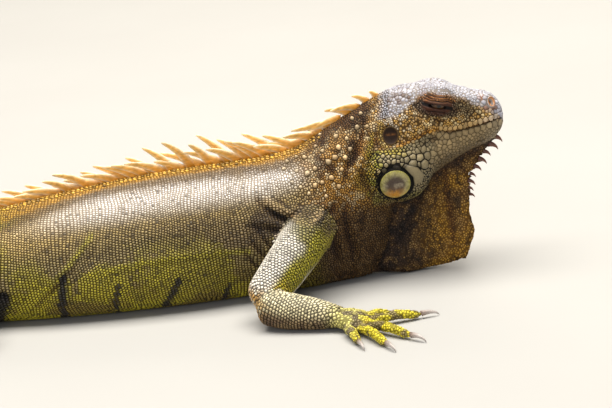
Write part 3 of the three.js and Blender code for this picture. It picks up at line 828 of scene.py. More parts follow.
def trunk_colours(points, station, sideways):
    """Gold under the crest, pale tan, brown-grey, then olive low down, with dark bars at the belly's edge."""
    share = points[:, 2] / np.maximum(back_height(station), 1)
    fine, broad, patch = cloud(points, 2.6, 1), cloud(points, 9, 2), cloud(points, 26, 3)
    front, rear = ramp(station, -20, 90), fall(station, -110, -20)
    upper, middle = pale_band_and_sheen(share, station)
    back = ramp(station, -260, -190)
    paint = Layers(points, "8b7a4b")
    paint("816f26", fall(share, 0.14, 0.42))
    paint("75623e", ramp(share, 0.36, 0.5) * front)
    paint("a38c56", ramp(share, 0.52, 0.76))
    # the upper flank's near-white band: pale scales with a painted sheen of the light from above
    paint("faf6f4", upper * (0.3 + 0.7 * middle) * (0.85 + 0.4 * (broad - 0.5)))
    paint("cdae66", rear * ramp(share, 0.5, 0.78) * 0.8)
    golden = np.abs(sideways) + 3 * (fine - 0.5) - 9 * rear
    paint("74581c", fall(golden, 14, 23) * back * 0.85)
    paint("c49330", fall(golden, 8, 13) * back * 0.9)
    for path in (FLANK_RIDGE, GROIN_FOLD):
        paint("b3a92c", 0.65 * stroke(points, smooth_path(path), 1.8))
    ragged_patch = patch + 0.35 * (broad - 0.5) + 0.25 * (fine - 0.5)
    paint("beb222", 0.75 * fall(share, 0.36, 0.66) * ramp(ragged_patch, 0.44, 0.62))
    hip = bump(spot_distance(points, (-104, 50)) + 10 * (broad - 0.5), 26)
    paint("a89c22", 0.7 * hip * ramp(ragged_patch, 0.3, 0.6))
    paint("57442a", 0.55 * front * ramp(patch, 0.48, 0.7) * fall(share, 0.6, 0.8))
    # dark specks, fewer under the painted sheen
    paint("3f301c", 0.5 * ramp(fine, 0.62, 0.75) * ramp(broad, 0.4, 0.6) * (1 - 0.7 * upper))
    # painted shade in the hollow under the shoulder, a painted highlight along the flap's ridge, and a
    # painted shadow just under the flap
    under = path_distance(points, SHOULDER_HOLLOW)[0] + 5 * (broad - 0.5)
    paint("4c3a1f", 0.85 * fall(under, 5, 12) * off_centre(points, 12))
    paint("c2a678", 0.8 * stroke(points, SHOULDER_FLAP, 2.2))
    paint("21160b", 0.9 * stroke(points, SHOULDER_FLAP - [0, 3.4], 1.5))
    for path, width in FLANK_BARS:
        off = path_distance(points, smooth_path(path))[0] + 2.5 * (fine - 0.5)
        paint("1b171f", 0.95 * fall(off, width * 0.5, width) * off_centre(points, 12))

    # tail: tan, with wide brown rings
    ring = 0.5 + 0.5 * np.sin(station / 13.5 + 2 * (broad - 0.5))
    on_tail = ramp(-station, 150, 210)
    paint("a08d5a", on_tail * 0.8)
    paint("46371f", on_tail * ramp(ring, 0.55, 0.9) * (0.6 + 0.3 * ramp(-station, 200, 600)))
    paint("5c4f2b", on_tail * fall(share, 0.1, 0.4) * 0.5)
    return paint("3e301c", on_tail * 0.4 * ramp(fine, 0.6, 0.75))


# %% Colours of the neck and throat fan
NAPE_BAND = [[177, 130], [168, 123.5], [158, 117], [142, 109.5], [124, 99]]
EAR_FOLD = [[170, 108], [166, 100], [162.5, 92], [162, 78]]
NECK_PATCHES = [
    (136.6, 83.4), (152.5, 98), (155.9, 105.7), (142.2, 93.7), (145.3, 77.7), (161.5, 113.5), (154.6, 110.2),
    (127.5, 80.5), (149, 86.5), (166.5, 118), (133, 99.5),
]


def neck_colours(points):
    """Golden brown, broken up by dark and pale specks, and nearly black in the fold above the chest."""
    z = points[:, 2]
    fine, broad = cloud(points, 2.2, 4), cloud(points, 8, 5)
    paint = Layers(points, "b78638")
    paint("c09a62", ramp(z, 84, 104) * 0.6)
    paint("f2dcae", 0.75 * ramp(fine, 0.52, 0.7))
    paint("4a2e14", 0.75 * ramp(broad, 0.52, 0.7))
    paint("5c3a13", bump(path_distance(points, NAPE_BAND)[0] + 3 * (fine - 0.5), 4.8) * 0.9)
    for spot in NECK_PATCHES:
        paint("3a230e", bump(spot_distance(points, spot) + 3 * (fine - 0.5), 2.9) * 0.85)
    paint("35240f", fall(z + 5 * (broad - 0.5), 46, 72) * 0.85)
    paint("6f4f22", fall(z, 50, 74) * 0.6 * ramp(fine, 0.5, 0.7))
    paint("857f2c", blot(points, (160, 73), 9) * 0.75)
    return paint("b59d35", stroke(points, EAR_FOLD, 2.2) * 0.8)


def fan_colours(points):
    x, z = points[:, 0], points[:, 2]
    fine, broad = cloud(points, 2.4, 6), cloud(points, 10, 7)
    paint = Layers(points, "37261a")
    paint("ac8026", ramp(x + 0.3 * (50 - z), 186, 222) * fall(z, 58, 88))
    paint("b88a3a", 0.7 * ramp(broad, 0.45, 0.7) * ramp(x, 192, 222) * fall(z, 46, 70))
    paint("56402a", 0.6 * ramp(broad, 0.5, 0.75))
    paint("b08c50", 0.4 * ramp(fine, 0.58, 0.78))
    return paint("1d130c", 0.7 * fall(fine, 0.25, 0.42))


# %% Colours of the head
HEAD_WHITE_EDGE = np.array([
    [160, 110], [167, 111], [172, 112.5], [183, 117], [194, 122], [206, 127.4], [221, 124.8], [227, 120.6],
    [235, 117.4], [243, 114], [249, 110], [256, 103], [264, 97],
])
NOSTRIL_CREASE = [[245.5, 112.6], [249.5, 110.9], [253.5, 111.8]]
BROWN_SPOTS = [(184.5, 127.4), (189.5, 128.3), (180, 124.5), (186.5, 124.2), (193.5, 126.2)]


def head_white(points):
    """1 on the whitish plates of the head's top and snout, 0 elsewhere."""
    x, _, z = points.T
    broad = cloud(points, 5, 13) - 0.5
    over = z - read_table(HEAD_WHITE_EDGE, x)[0]
    return ramp(over + 5 * broad, -2, 2.5) * ramp(x + 6 * broad - 0.25 * (z - 115), 169, 175)


def head_colours(points):
    """Whitish plates on top, brown round the eye, gold cheek, grey-beige jaws and a grey-yellow jowl."""
    x, y, z = points.T
    fine, broad = cloud(points, 2.0, 12), cloud(points, 6, 13)
    orbit, above = eye_measure(points)
    below = below_jaw_line(points)
    forward = x + 7 * (broad - 0.5)
    paint = Layers(points, "c09445")
    paint("6e4b22", 0.6 * ramp(broad, 0.53, 0.7))
    paint("efd9a4", 0.7 * ramp(fine, 0.5, 0.7))
    paint("c89f58", blot(points, (194, 108), 9) * 0.5)
    paint("ddd2c2", 0.7 * blot(points, (181, 114), 15) * ramp(fine, 0.42, 0.58))

    # the lip, beige above an orange-brown edge, and the gold fold behind the corner of the mouth
    lip = fall(-below, 3.2, 4.8) * ramp(x, 207, 214)
    paint("b4945f", lip * 0.9)
    paint("cbb8a0", lip * ramp(x, 236, 250) * 0.7)
    jaw = ramp(below, -0.3, 0.5)
    paint("8f7a54", jaw)
    paint("574629", jaw * 0.8 * fall(z - 0.3 * (x - 225), 83, 92))
    paint("9f8f72", jaw * ramp(x, 238, 254) * 0.6)
    paint("9a6a32", bump(below + 0.4, 0.9) * ramp(x, 196, 206) * 0.8)
    paint("c98f2c", 0.9 * bump(path_distance(points, MOUTH_FOLD)[0] - 0.3, 1.7))

    # the jowl, yellower to the rear and towards the fold
    jowl = ramp(below, 0, 1.2) * fall(forward, 200, 212)
    paint("8b7d5c", jowl)
    paint("a8953c", jowl * ramp(z + 0.13 * (x - 175), 88.5, 92) * fall(x, 180, 192))
    paint("98902f", jowl * fall(forward, 166, 172))
    paint("7d7330", jowl * fall(z, 60, 66) * 0.8)
    paint("7a6a44", jowl * ramp(x, 194, 201) * fall(z, 66, 72))

    # white on top, mottled grey, with brown spots at the rear
    white = head_white(points)
    paint("aeadb5", white)
    paint("8f867d", 0.5 * white * ramp(fine, 0.58, 0.75) * fall(x, 196, 214))
    paint("8d8994", 0.45 * white * ramp(broad, 0.6, 0.75))
    for spot in BROWN_SPOTS:
        paint("54381f", blot(points, spot, 1.7) * 0.9)

    # brown marks round the nostril
    paint("b5702c", blot(points, (243.6, 119.4), 1.6) * 0.8)
    paint("7d5029", stroke(points, NOSTRIL_CREASE, 1.2) * 0.8)

    # round the eye, and the lids
    ring = fall(orbit + 0.5 * (broad - 0.5) + 0.45 * ramp(-above, 5, 11), 0.9, 1.5)
    paint("46301f", 0.9 * ring * (1 - 0.9 * white))
    paint("4b3d28", blot(points, (233, 113.6), 8) * 0.9 * (1 - white))
    paint("7d6a48", 0.7 * blot(points, (232, 113), 9) * ramp(fine, 0.5, 0.65) * (1 - white))
    lid = fall(orbit, 0.6, 0.85)
    wrinkle = lid_wrinkles(points)
    slanted = z + 0.22 * (x - 212)
    upper = ramp(slanted, 121.6, 123.2) * fall(slanted, 127, 129)
    paint("4c2f22", lid)
    paint("96622c", fall(orbit, 0.8, 1.1) * upper * ramp(wrinkle, -0.12, 0.1) * 0.85)
    # painted shade in the valleys of the lid wrinkles
    paint("24130e", lid * fall(wrinkle, -0.3, 0.0) * 0.8)
    # painted shade: the skin at the edge of the open slit is darkened to near black
    paint("120a09", fall(path_distance(points, LID_SLIT)[0], 0.8, 1.6) * (orbit < 0.75))
    paint("3b2815", 0.9 * blot(points, EAR, 6.0))
    paint("b59a52", 0.8 * stroke(points, EAR_FLAP, 1.6))
    return paint("0b090b", bump(spot_distance(points, SHIELD) - SHIELD_RADIUS - 0.9, 1.6) * (np.abs(y) > 12))


# %% Colours of the arms and legs
def limb_numbers(name):
    """Numbers in FLESH of a limb's three parts, from its root out."""
    kind, side = name.split("_")
    return [FLESH.index(f"{part}_{side}") for part in LIMB_PARTS[kind]]


def limb_place(points, joints):
    """How far each point is along a limb, and its share of the way out to the front and to the top."""
    best = np.full(len(points), 1e9)
    travelled = 0.0
    along, front, top = np.zeros((3, len(points)))
    for a, b in zip(joints, joints[1:]):
        length = np.linalg.norm(b - a)
        way = (b - a) / length
        t = (points - a) @ way
        off = points - a - np.clip(t, 0, length)[:, None] * way
        closer = np.linalg.norm(off, axis=1) < best
        best[closer] = np.linalg.norm(off, axis=1)[closer]
        level = np.array([way[1], -way[0], 0.0])
        level /= np.linalg.norm(level) * (1 if level[0] > 0 else -1)
        along[closer] = (travelled + np.clip(t, -20, length + 60))[closer]
        front[closer] = (off @ level)[closer]
        top[closer] = off[closer, 2]
        travelled += length
    return along, front / 14, top / 14


def arm_colours(points, along, front, top):
    """Cream outside, a lime front edge, a gold and brown elbow, and yellow hands with brown spots."""
    fine, broad = cloud(points, 2.4, 14), cloud(points, 5.0, 15)
    elbow, wrist = 99.0, 162.0
    paint = Layers(points, "eee6d6")
    paint("8f8546", fall(along + 12 * (broad - 0.5) - 22 * ramp(front, -0.5, 0.9), 18, 42))
    strip = front - 0.2 * fall(along, 35, 85)
    paint("aaa022", ramp(strip, 0.62, 0.86) * fall(along, elbow - 12, elbow))
    lower = ramp(along, elbow - 10, elbow + 6)
    paint("d8cba0", lower)
    # over the forearm's cream: painted shade underneath, patchy brown below that is partly its own mottling
    # and partly painted shade, and a painted highlight on top
    paint("9a8058", lower * fall(top, -0.3, 0.35))
    paint("6a5238", lower * fall(top, -0.5, 0.1) * ramp(broad, 0.4, 0.6))
    paint("e6dbb4", lower * ramp(top, 0.3, 0.7))
    gold = bump(along - elbow + 2, 13) * fall(top, 0.3, 0.8)
    paint("cb9530", gold * ramp(fine, 0.3, 0.5) * 0.9)
    paint("46302a", bump(along - elbow - 12, 9) * bump(top + 0.3, 0.45) * 0.7)
    hand = ramp(along, wrist - 16, wrist + 2)
    paint("d2c870", hand)
    paint("e2d02c", ramp(along, wrist + 6, wrist + 18))
    paint("54404a", hand * 0.75 * ramp(broad, 0.54, 0.64))
    return paint("54442c", 0.3 * ramp(fine, 0.6, 0.75))


def leg_colours(points, along, front, top):
    fine, broad = cloud(points, 2.4, 16), cloud(points, 7.0, 17)
    paint = Layers(points, "9a8a4e")
    paint("c0af7a", ramp(top, 0.0, 0.8) * 0.8)
    paint("7f8a26", ramp(front, 0.3, 0.8) * fall(along, 60, 90) * 0.6)
    paint("5d4a2c", 0.6 * ramp(broad, 0.52, 0.66))
    paint("a8992f", ramp(along, 150, 172) * 0.8)
    paint("473634", ramp(along, 150, 165) * 0.7 * ramp(broad, 0.5, 0.6))
    return paint("54442c", 0.35 * ramp(fine, 0.6, 0.75))


# %% All the markings together
def markings(points, part, station, sideways):
    """Linear colours of the animal at each place."""
    x, _, z = points.T
    ragged = station + 9 * (cloud(points, 7, 18) - 0.5)
    on_neck = is_part(part, *TRUNK, *HEAD_PARTS, "dewlap") * ramp(ragged, 108, 132)
    edge = x - 0.12 * (z - 90) + 12 * (cloud(points, 4, 22) - 0.5)
    on_head = is_part(part, *TRUNK, *HEAD_PARTS) * ramp(z, 52, 60) * ramp(edge, 161, 170)
    mixed = cover(trunk_colours(points, station, sideways), neck_colours(points), on_neck)
    mixed = cover(mixed, head_colours(points), on_head)
    mixed = cover(mixed, fan_colours(points), is_part(part, "dewlap") * ramp(x, 152, 166))
    for name, joints in LIMB_JOINTS.items():
        limb_colours = arm_colours if name.startswith("arm") else leg_colours
        along, front, top = limb_place(points, joints)
        on_limb = np.isin(part, limb_numbers(name)) * ramp(along, 18, 42)
        mixed = cover(mixed, limb_colours(points, along, front, top), on_limb)
    return mixed


def set_colours(mesh, colours):
    """Stores linear colours, one for each corner, as the attribute that the materials read."""
    rows = np.column_stack([colours, np.ones(len(colours))])
    attribute = mesh.color_attributes.new("Marking", "FLOAT_COLOR", "POINT")
    attribute.data.foreach_set("color", rows.astype(np.float32).ravel())


# %% Shade in the folds
# Shade falls in the folds, so a valley is painted darker than a ridge: painted shade. A relaxed net shows
# which is which.
def valley_share(mesh, rounds, depth):
    """1 where a corner lies that many millimetres below the smoothed skin, 0 where it lies on it or above."""
    points, normals = read_corners(mesh), read_normals(mesh)
    relax(mesh, np.full(len(points), 0.6), rounds)
    smoothed = read_corners(mesh)
    write_corners(mesh, points)
    return ramp(((smoothed - points) * normals).sum(1), 0.05, depth)


FOLD_ROUNDS = 14
FOLD_DEPTH = 0.45
FOLD_SHADE = np.array([0.55, 0.64, 0.74])
WARM_GAPS = np.array([1.1, 0.95, 0.75])
skin_valley = valley_share(skin.data, FOLD_ROUNDS, FOLD_DEPTH)
print("share of the skin in shaded folds:", round(float((skin_valley > 0.5).mean()), 3))

skin_points = read_corners(skin.data)
skin_part = part_at(skin_points)
skin_station, skin_sideways = along_body(skin_points)


def gap_share(points, part, station):
    """How bright the bare skin is against its scales: black at the jowl, pale on the head and lids."""
    x, _, z = points.T
    on_head, on_trunk, on_fan = is_part(part, *HEAD_PARTS), is_part(part, *TRUNK), is_part(part, "dewlap")
    below, (orbit, _) = below_jaw_line(points), eye_measure(points)
    upper, middle = pale_band_and_sheen(z / np.maximum(back_height(station), 1), station)
    head_share = 0.36 * head_white(points) + 0.25 * ramp(below, -0.5, 0.5) * ramp(x, 202, 210)
    head_share += 0.6 * fall(orbit, 0.6, 0.75) * off_centre(points, 12)
    head_share -= 0.12 * ramp(below, 0.5, 1.5) * fall(x + z - 84, 198, 206)
    # the bare skin between the scales is darkened, partly its own darker colour and partly painted shade in
    # the gaps
    share = 0.15 + on_head * head_share + 0.2 * is_part(part, "hand", "foot")
    # pale gaps on the throat fan, and bare skin painted lighter under the upper flank's painted sheen
    share += 0.12 * on_fan + 0.17 * on_trunk * upper * middle
    warm = on_trunk | on_fan | is_part(part, "head")
    return share[:, None] * np.where(warm[:, None], WARM_GAPS, 1)


skin_colour = markings(skin_points, skin_part, skin_station, skin_sideways)
# painted shade: the skin is darkened in the valleys of its folds
skin_colour *= 1 - FOLD_SHADE * skin_valley[:, None]
set_colours(skin.data, skin_colour * gap_share(skin_points, skin_part, skin_station))
print("mean colour of the skin:", skin_colour.mean(0).round(3))


# %% [markdown]
# ## What skin is made of
# Scales, claws, spines and ear drums are all keratin, so one function makes their materials. Its colour is
# the marking stored in the mesh. One fine noise stands for the grain, and moves the tone and the relief
# together, as pits that hold dirt do. A coarser noise wears the gloss away in patches. Each finish then
# gives its own numbers.

# %% Skin material
RELIEF_HEIGHT = 0.3 * MM
NOISE_RANGE = {"From_Min": 0.3, "From_Max": 0.7}


def marked_material(name, grain, shades, depth, roughness, wear=(0, 0), stretch=(1, 1, 1), detail=3.0,
                    **finish):
    """grain is the noise's size in millimetres, stretch its shape, and shades its darkest and lightest tone.

    depth is the strength of its relief, and wear how far the roughness goes below and above its middle.
    """
    material = new_material(name)
    tree = material.node_tree
    place = add_node(tree, "ShaderNodeTexCoord")
    tint = add_node(tree, "ShaderNodeAttribute", attribute_name="Marking")
    drawn = add_node(tree, "ShaderNodeMapping", {"Vector": place.outputs["Object"]}, Scale=stretch)
    at = {"Vector": drawn.outputs["Vector"]}
    pits = add_node(tree, "ShaderNodeTexNoise", at, Scale=1 / (grain * MM), Detail=detail)
    dirt = add_node(tree, "ShaderNodeTexNoise", at, Scale=1 / (4 * grain * MM), Detail=2.0)
    shade = add_node(tree, "ShaderNodeMapRange", {"Value": pits.outputs["Fac"]}, **NOISE_RANGE,
                     To_Min=shades[0], To_Max=shades[1])
    parts = {0: tint.outputs["Color"], "Scale": shade.outputs["Result"]}
    toned = add_node(tree, "ShaderNodeVectorMath", parts, operation="SCALE")
    gloss = add_node(tree, "ShaderNodeMapRange", {"Value": dirt.outputs["Fac"]}, **NOISE_RANGE,
                     To_Min=roughness - wear[0], To_Max=roughness + wear[1])
    relief = add_node(tree, "ShaderNodeBump", {"Height": pits.outputs["Fac"]},
                      Strength=depth, Distance=RELIEF_HEIGHT)
    links = {"Base Color": toned.outputs["Vector"], "Roughness": gloss.outputs["Result"]}
    links["Normal"] = relief.outputs["Normal"]
    return finish_material(material, add_node(tree, "ShaderNodeBsdfPrincipled", links, **finish))


def scaled_skin(name, roughness, grain, depth, ior):
    """Keratin scale over skin: waxy and half gloss, with a fine pitted grain, and duller where it is worn."""
    return marked_material(name, grain, (0.8, 1.15), depth, roughness, wear=(0.1, 0.12), IOR=ior)


skin.data.materials.clear()
skin.data.materials.append(scaled_skin("soft_skin_between_scales", 0.65, 0.9, 0.3, 1.28))

# %% [markdown]
# ## Where the scales grow
# A lizard's scales stand in rows round its trunk, tail and limbs, each row shifted by half a scale against
# the last, and in a looser pavement on its head, throat fan and feet. A particle system would scatter them
# without rows, and the export drops it. So each scale gets a seed, a point on the skin with a size. Row
# seeds come from rays sent out from the middle of the trunk or limb. The others are thrown at random and
# kept where there is room.

# %% The finished skin, ready to be asked
NORMAL_ROUNDS = 3


class Surface:
    """The skin as arrays and a search tree, in millimetres."""

    def __init__(self, mesh, part):
        mesh.calc_loop_triangles()
        self.corners = read_rows(mesh.loop_triangles, "vertices", np.int32)
        self.points = read_corners(mesh)
        self.normals = read_normals(mesh)
        a, b = self.corners[:, [0, 1, 2]].ravel(), self.corners[:, [1, 2, 0]].ravel()
        for _ in range(NORMAL_ROUNDS):
            total = self.normals * 2
            for k in range(3):
                total[:, k] += np.bincount(a, self.normals[b, k], len(total))
            self.normals = unit(total)
        self.part = part[self.corners[:, 0]]
        self.tree = BVHTree.FromPolygons(self.points.tolist(), self.corners.tolist())
        edges = self.points[self.corners[:, 1:]] - self.points[self.corners[:, :1]]
        self.area = np.linalg.norm(np.cross(edges[:, 0], edges[:, 1]), axis=1) / 2

    def snap(self, points):
        """Nearest places on the skin, with their triangle numbers."""
        found = [self.tree.find_nearest(p) for p in points.tolist()]
        return np.array([f[0][:] for f in found]), np.array([f[2] for f in found])

    def normal_at(self, points, triangles):
        a, b, c = (self.points[self.corners[triangles, k]] for k in range(3))
        whole = np.cross(b - a, c - a)
        size = np.maximum((whole**2).sum(1), 1e-12)
        v = (np.cross(points - a, c - a) * whole).sum(1) / size
        w = (np.cross(b - a, points - a) * whole).sum(1) / size
        weights = np.clip(np.column_stack([1 - v - w, v, w]), 0, 1)
        return unit((self.normals[self.corners[triangles]] * weights[:, :, None]).sum(1))

    def scatter(self, count, rng, wanted):
        """Random places, spread evenly over the triangles that are wanted."""
        share = self.area * wanted
        chosen = rng.choice(len(share), count, p=share / share.sum())
        u, v = rng.random((2, count))
        flip = u + v > 1
        u, v = np.where(flip, 1 - u, u), np.where(flip, 1 - v, v)
        a, b, c = (self.points[self.corners[chosen, k]] for k in range(3))
        return a + (b - a) * u[:, None] + (c - a) * v[:, None], chosen


surface = Surface(skin.data, skin_part)
print(f"skin area: {surface.area.sum() / 100:.0f} square centimetres")


# %% Size of the scales at each place
def scale_spacing(points, part, station):
    """Distance between the middles of neighbouring scales, in millimetres."""
    x, y, z = points.T
    size = 2.05 - 0.5 * ramp(station, 105, 135) + 1.1 * fall(z, 3, 10)
    tail_size = np.interp(station, [-1080, -900, -500, -190], [1.5, 2.2, 3.2, 2.9])
    size = np.where(is_part(part, *TAIL), tail_size, size)
    for segment, limb_size in enumerate((2.4, 2.3, 1.55)):
        names = [parts[segment] for parts in LIMB_PARTS.values()]
        size = np.where(is_part(part, *names), limb_size, size)
    size = np.where(is_part(part, "dewlap"), 1.25 + 0.12 * ramp(x, 200, 232), size)

    head_size = np.full(len(points), 1.35)
    on_top = ramp(z - 0.12 * np.abs(x - 205), 117, 124)
    head_size += on_top * (0.7 + 0.9 * cloud(points, 6, 11))
    head_size += 1.1 * ramp(x, 236, 246) * ramp(z, 104, 110)
    head_size -= 0.35 * fall(x, 180, 196) * on_top
    orbit, _ = eye_measure(points)
    head_size -= (head_size - 1.25) * fall(orbit, 1.0, 1.6) * (np.abs(y) > 8)
    head_size = np.where((orbit < 0.95) & (np.abs(y) > 12), 0.9, head_size)
    jowl_size = 1.8 + 1.5 * bump(z - 84, 7) * bump(x - 191, 15)
    beads = fall(x, 168, 173) + fall(z + 0.3 * (x - 178), 60, 68)
    jowl_size -= (jowl_size - 1.3) * np.clip(beads, 0, 1)
    jowl_size = np.where((z < 76) & (x > 197), 1.35, jowl_size)
    jowl_size += 1.3 * ramp(x, 204, 220) * ramp(z - 0.35 * (x - 220), 86, 92)
    head_size = np.where((below_jaw_line(points) > 0) & (np.abs(y) > 6), jowl_size, head_size)
    head_size = np.where(spot_distance(points, EAR) < 8.5, 1.3, head_size)
    return np.where(is_part(part, *HEAD_PARTS), head_size, size)


# %% Seeds in rows round the trunk, tail and limbs
ROW_STEP = 1.02
BODY_RAYS, LIMB_RAYS = 108, 48
BODY_REACH, LIMB_REACH = 70, 30


def cross_rows(line, ahead, up, pitch, allowed, rays, reach):
    """Seeds in rows round a line. line, ahead and up hold one place and two directions for each row."""
    seeds, triangles = [], []
    angles = np.linspace(0, 2 * np.pi, rays, endpoint=False)
    for n, (middle, forward, top, step) in enumerate(zip(line, ahead, up, pitch)):
        across = np.cross(forward, top)
        ring, hit = [], []
        for angle in angles:
            way = top * np.cos(angle) + across * np.sin(angle)
            place, _, triangle, _ = surface.tree.ray_cast(middle.tolist(), way.tolist(), reach)
            ring.append(place[:] if place else (np.nan,) * 3)
            hit.append(-1 if triangle is None else triangle)
        ring, hit = np.array(ring), np.array(hit)
        good = (hit >= 0) & np.isin(surface.part[hit], allowed)
        half = rays // 2
        for order in (np.arange(0, half + 1), np.arange(0, -half - 1, -1) % rays):
            side, fine = ring[order], good[order]
            length = np.where(fine[1:] & fine[:-1], np.linalg.norm(np.diff(side, axis=0), axis=1), step)
            length = np.minimum(np.nan_to_num(length, nan=step), 4 * step)
            travelled = np.concatenate([[0], np.cumsum(length)])
            stops = np.arange(step * (0.5 if n % 2 else 1.0), travelled[-1], step)
            before = np.clip(np.searchsorted(travelled, stops) - 1, 0, len(order) - 2)
            usable = fine[before] & fine[before + 1]
            before, stops = before[usable], stops[usable]
            t = ((stops - travelled[before]) / length[before])[:, None]
            seeds.append(side[before] * (1 - t) + side[before + 1] * t)
            triangles.append(hit[order][before])
    return np.vstack(seeds), np.concatenate(triangles)


#   station, distance from row to row, distance from scale to scale in a row
ROW_TABLE = np.array([
    [-1080, 1.6, 1.1], [-900, 2.4, 1.5], [-500, 3.7, 2.3], [-190, 3.3, 2.5], [-150, 2.15, 1.85],
    [60, 2.05, 1.75], [130, 1.6, 1.45],
])
FIRST_ROW, LAST_ROW = 186, -1072
LIMB_ROW_STEP, LIMB_SCALE_STEP = 2.1, 2.25

stops = [FIRST_ROW]
while stops[-1] > LAST_ROW:
    stops.append(stops[-1] - ROW_STEP * read_table(ROW_TABLE, stops[-1])[0])
stops = np.array(stops)
places = [spine_at(s) for s in stops]
line = np.array([[*at, WAIST * back_height(s)] for (at, _), s in zip(places, stops)])
ahead = np.array([[*forward, 0] for _, forward in places])
up = np.tile([0.0, 0.0, 1.0], (len(stops), 1))
_, pitch = read_table(ROW_TABLE, stops)
body_parts = [FLESH.index(node) for node in (*TRUNK, *TAIL)]
row_seeds = [cross_rows(line, ahead, up, pitch, body_parts, BODY_RAYS, BODY_REACH)]
for name, joints in LIMB_JOINTS.items():
    path = spine_curve(joints, steps=30)
    path_table = np.column_stack([travelled_along(path), path])
    stops = np.arange(0, path_table[-1, 0], LIMB_ROW_STEP)
    line = read_table(path_table, stops).T
    ahead = unit(np.gradient(line, axis=0))
    up = unit(np.cross(np.cross(ahead, [0, 0, 1]), ahead))
    pitch = np.full(len(stops), LIMB_SCALE_STEP)
    allowed = limb_numbers(name)[:2]
    row_seeds.append(cross_rows(line, ahead, up, pitch, allowed, LIMB_RAYS, LIMB_REACH))
print("row seeds:", [len(r[0]) for r in row_seeds])

# %% Listed seeds: lip scales, jowl plates and neck tubercles
# Forward and upward millimetres of the large plates round the cheek shield, with their size.
JOWL_PLATES = [
    (192.9, 74.4, 13.2), (199.8, 80.6, 7.4), (191.6, 82.8, 6.0), (186.3, 81.0, 5.2), (181.1, 82.4, 4.6),
    (175.7, 82.4, 3.8), (171.3, 80.9, 3.2), (168.3, 79.4, 2.8), (202.7, 85.9, 5.3), (197.1, 86.0, 5.0),
    (192.2, 87.6, 4.1), (187.6, 86.2, 3.9), (184.4, 86.4, 3.0), (182.2, 88.6, 3.2), (178.9, 86.3, 3.4),
    (175.2, 86.5, 3.0), (170.0, 87.2, 3.4), (169.8, 84.2, 3.2), (173.2, 84.4, 2.8), (179.0, 89.4, 2.9),
    (175.4, 89.2, 2.9), (186.2, 89.6, 3.2), (190.2, 90.4, 3.0), (171.8, 89.7, 3.2), (205.6, 81.6, 3.6),
    (206.6, 86.6, 4.0), (195.6, 90.6, 3.6), (200.4, 90.8, 4.0),
]
# Three rows of narrow scales above them, as forward and upward millimetres of their ends.
JOWL_ROWS = [[[166, 92.4], [194, 92.8]], [[166, 94.0], [192, 94.0]], [[167, 95.6], [186, 95.2]]]
JOWL_ROW_PITCH, JOWL_ROW_SIZE = 2.5, 1.9
# Forward, upward and width of the large cones on the sides of the neck.
TUBERCLES = [
    (119.3, 81.9, 5.0), (124.9, 84.7, 4.2), (134.4, 88.1, 5.2), (139.3, 90.6, 4.8), (142.5, 96.7, 4.6),
    (131.1, 94.9, 4.0), (118.6, 91.5, 4.4), (113.0, 91.8, 3.8), (123.8, 74.2, 4.8), (128.9, 75.5, 4.0),
    (135.4, 77.8, 4.6), (103.5, 85.6, 3.6), (106.5, 89.5, 3.6), (146.3, 89.7, 4.4), (112.3, 84.0, 3.8),
    (141.5, 103.4, 4.2), (156.8, 108.3, 4.6), (119.0, 69.5, 3.4), (139.9, 71.5, 4.2), (154.0, 113.8, 3.8),
    (160.3, 116.8, 3.6), (127.0, 97.6, 3.6), (148.8, 101.6, 3.8), (108.3, 77.6, 3.2), (130.5, 66.5, 3.4),
    (143.0, 82.4, 3.8), (150.2, 94.9, 4.0), (113.9, 74.2, 3.2), (131.0, 104.0, 3.4), (163.5, 108.6, 3.6),
]
#  distance between the lip scales, and how far above the mouth line their middles are
LIP_ROWS = [(4.3, -2.9), (3.7, 2.2)]


def skin_beside(x, z, side):
    """Where a level line from that side first meets the skin."""
    return surface.tree.ray_cast((x, side * 90, z), (0, -side, 0), 90)[0]


def along_path(path, pitch, offset):
    """Points at an even pitch along a path seen from the side, moved to its upper side by offset."""
    fine = smooth_path(path)
    table = np.column_stack([travelled_along(fine), fine, np.gradient(fine, axis=0)])
    columns = read_table(table, np.arange(pitch / 2, table[-1, 0], pitch))
    run = unit(columns[2:].T)
    return columns[:2].T + np.column_stack([run[:, 1], -run[:, 0]]) * offset


placed = list(JOWL_PLATES)
for n, (start, end) in enumerate(np.array(JOWL_ROWS)):
    length = np.linalg.norm(end - start)
    for t in np.arange(0.25 + 0.5 * (n % 2), length / JOWL_ROW_PITCH):
        placed.append((*(start + (end - start) * t * JOWL_ROW_PITCH / length), JOWL_ROW_SIZE))
for pitch, offset in LIP_ROWS:
    placed += [(x, z, pitch) for x, z in along_path(MOUTH, pitch, offset)]
placed += TUBERCLES
hand_seeds, hand_sizes = [], []
for side in SIDES.values():
    for x, z, size in placed:
        place = skin_beside(x, z, side)
        if place and abs(place.y) > 2:
            hand_seeds.append(place[:])
            hand_sizes.append(size)
# Four uneven files of small knobs flank the crest.
KNOB_FILES = (-6.3, -3.6, 3.6, 6.3)
KNOB_PITCH = 3.1
KNOB_SIZES = (2.3, 3.3)
ridge_seeds = []
knob_rng = np.random.default_rng(7)
for station in np.arange(130, -200, -KNOB_PITCH):
    (x, y), forward = spine_at(station + knob_rng.normal(0, 0.5))
    for offset in KNOB_FILES:
        offset += knob_rng.normal(0, 0.3)
        above = (x - forward[1] * offset, y + forward[0] * offset, 160)
        place = surface.tree.ray_cast(above, (0, 0, -1), 160)[0]
        if place:
            ridge_seeds.append(place[:])
print("hand-placed seeds:", len(hand_seeds), "and along the crest:", len(ridge_seeds))

# %% Keep seeds that have room, then fill the bare places
ROOM = 0.80
ROW_SWAY = 7.0
CELL = 4.0
CANDIDATES = 150_000
NEAR_CELLS = [(a, b, c) for a in (0, -1, 1) for b in (0, -1, 1) for c in (0, -1, 1)]


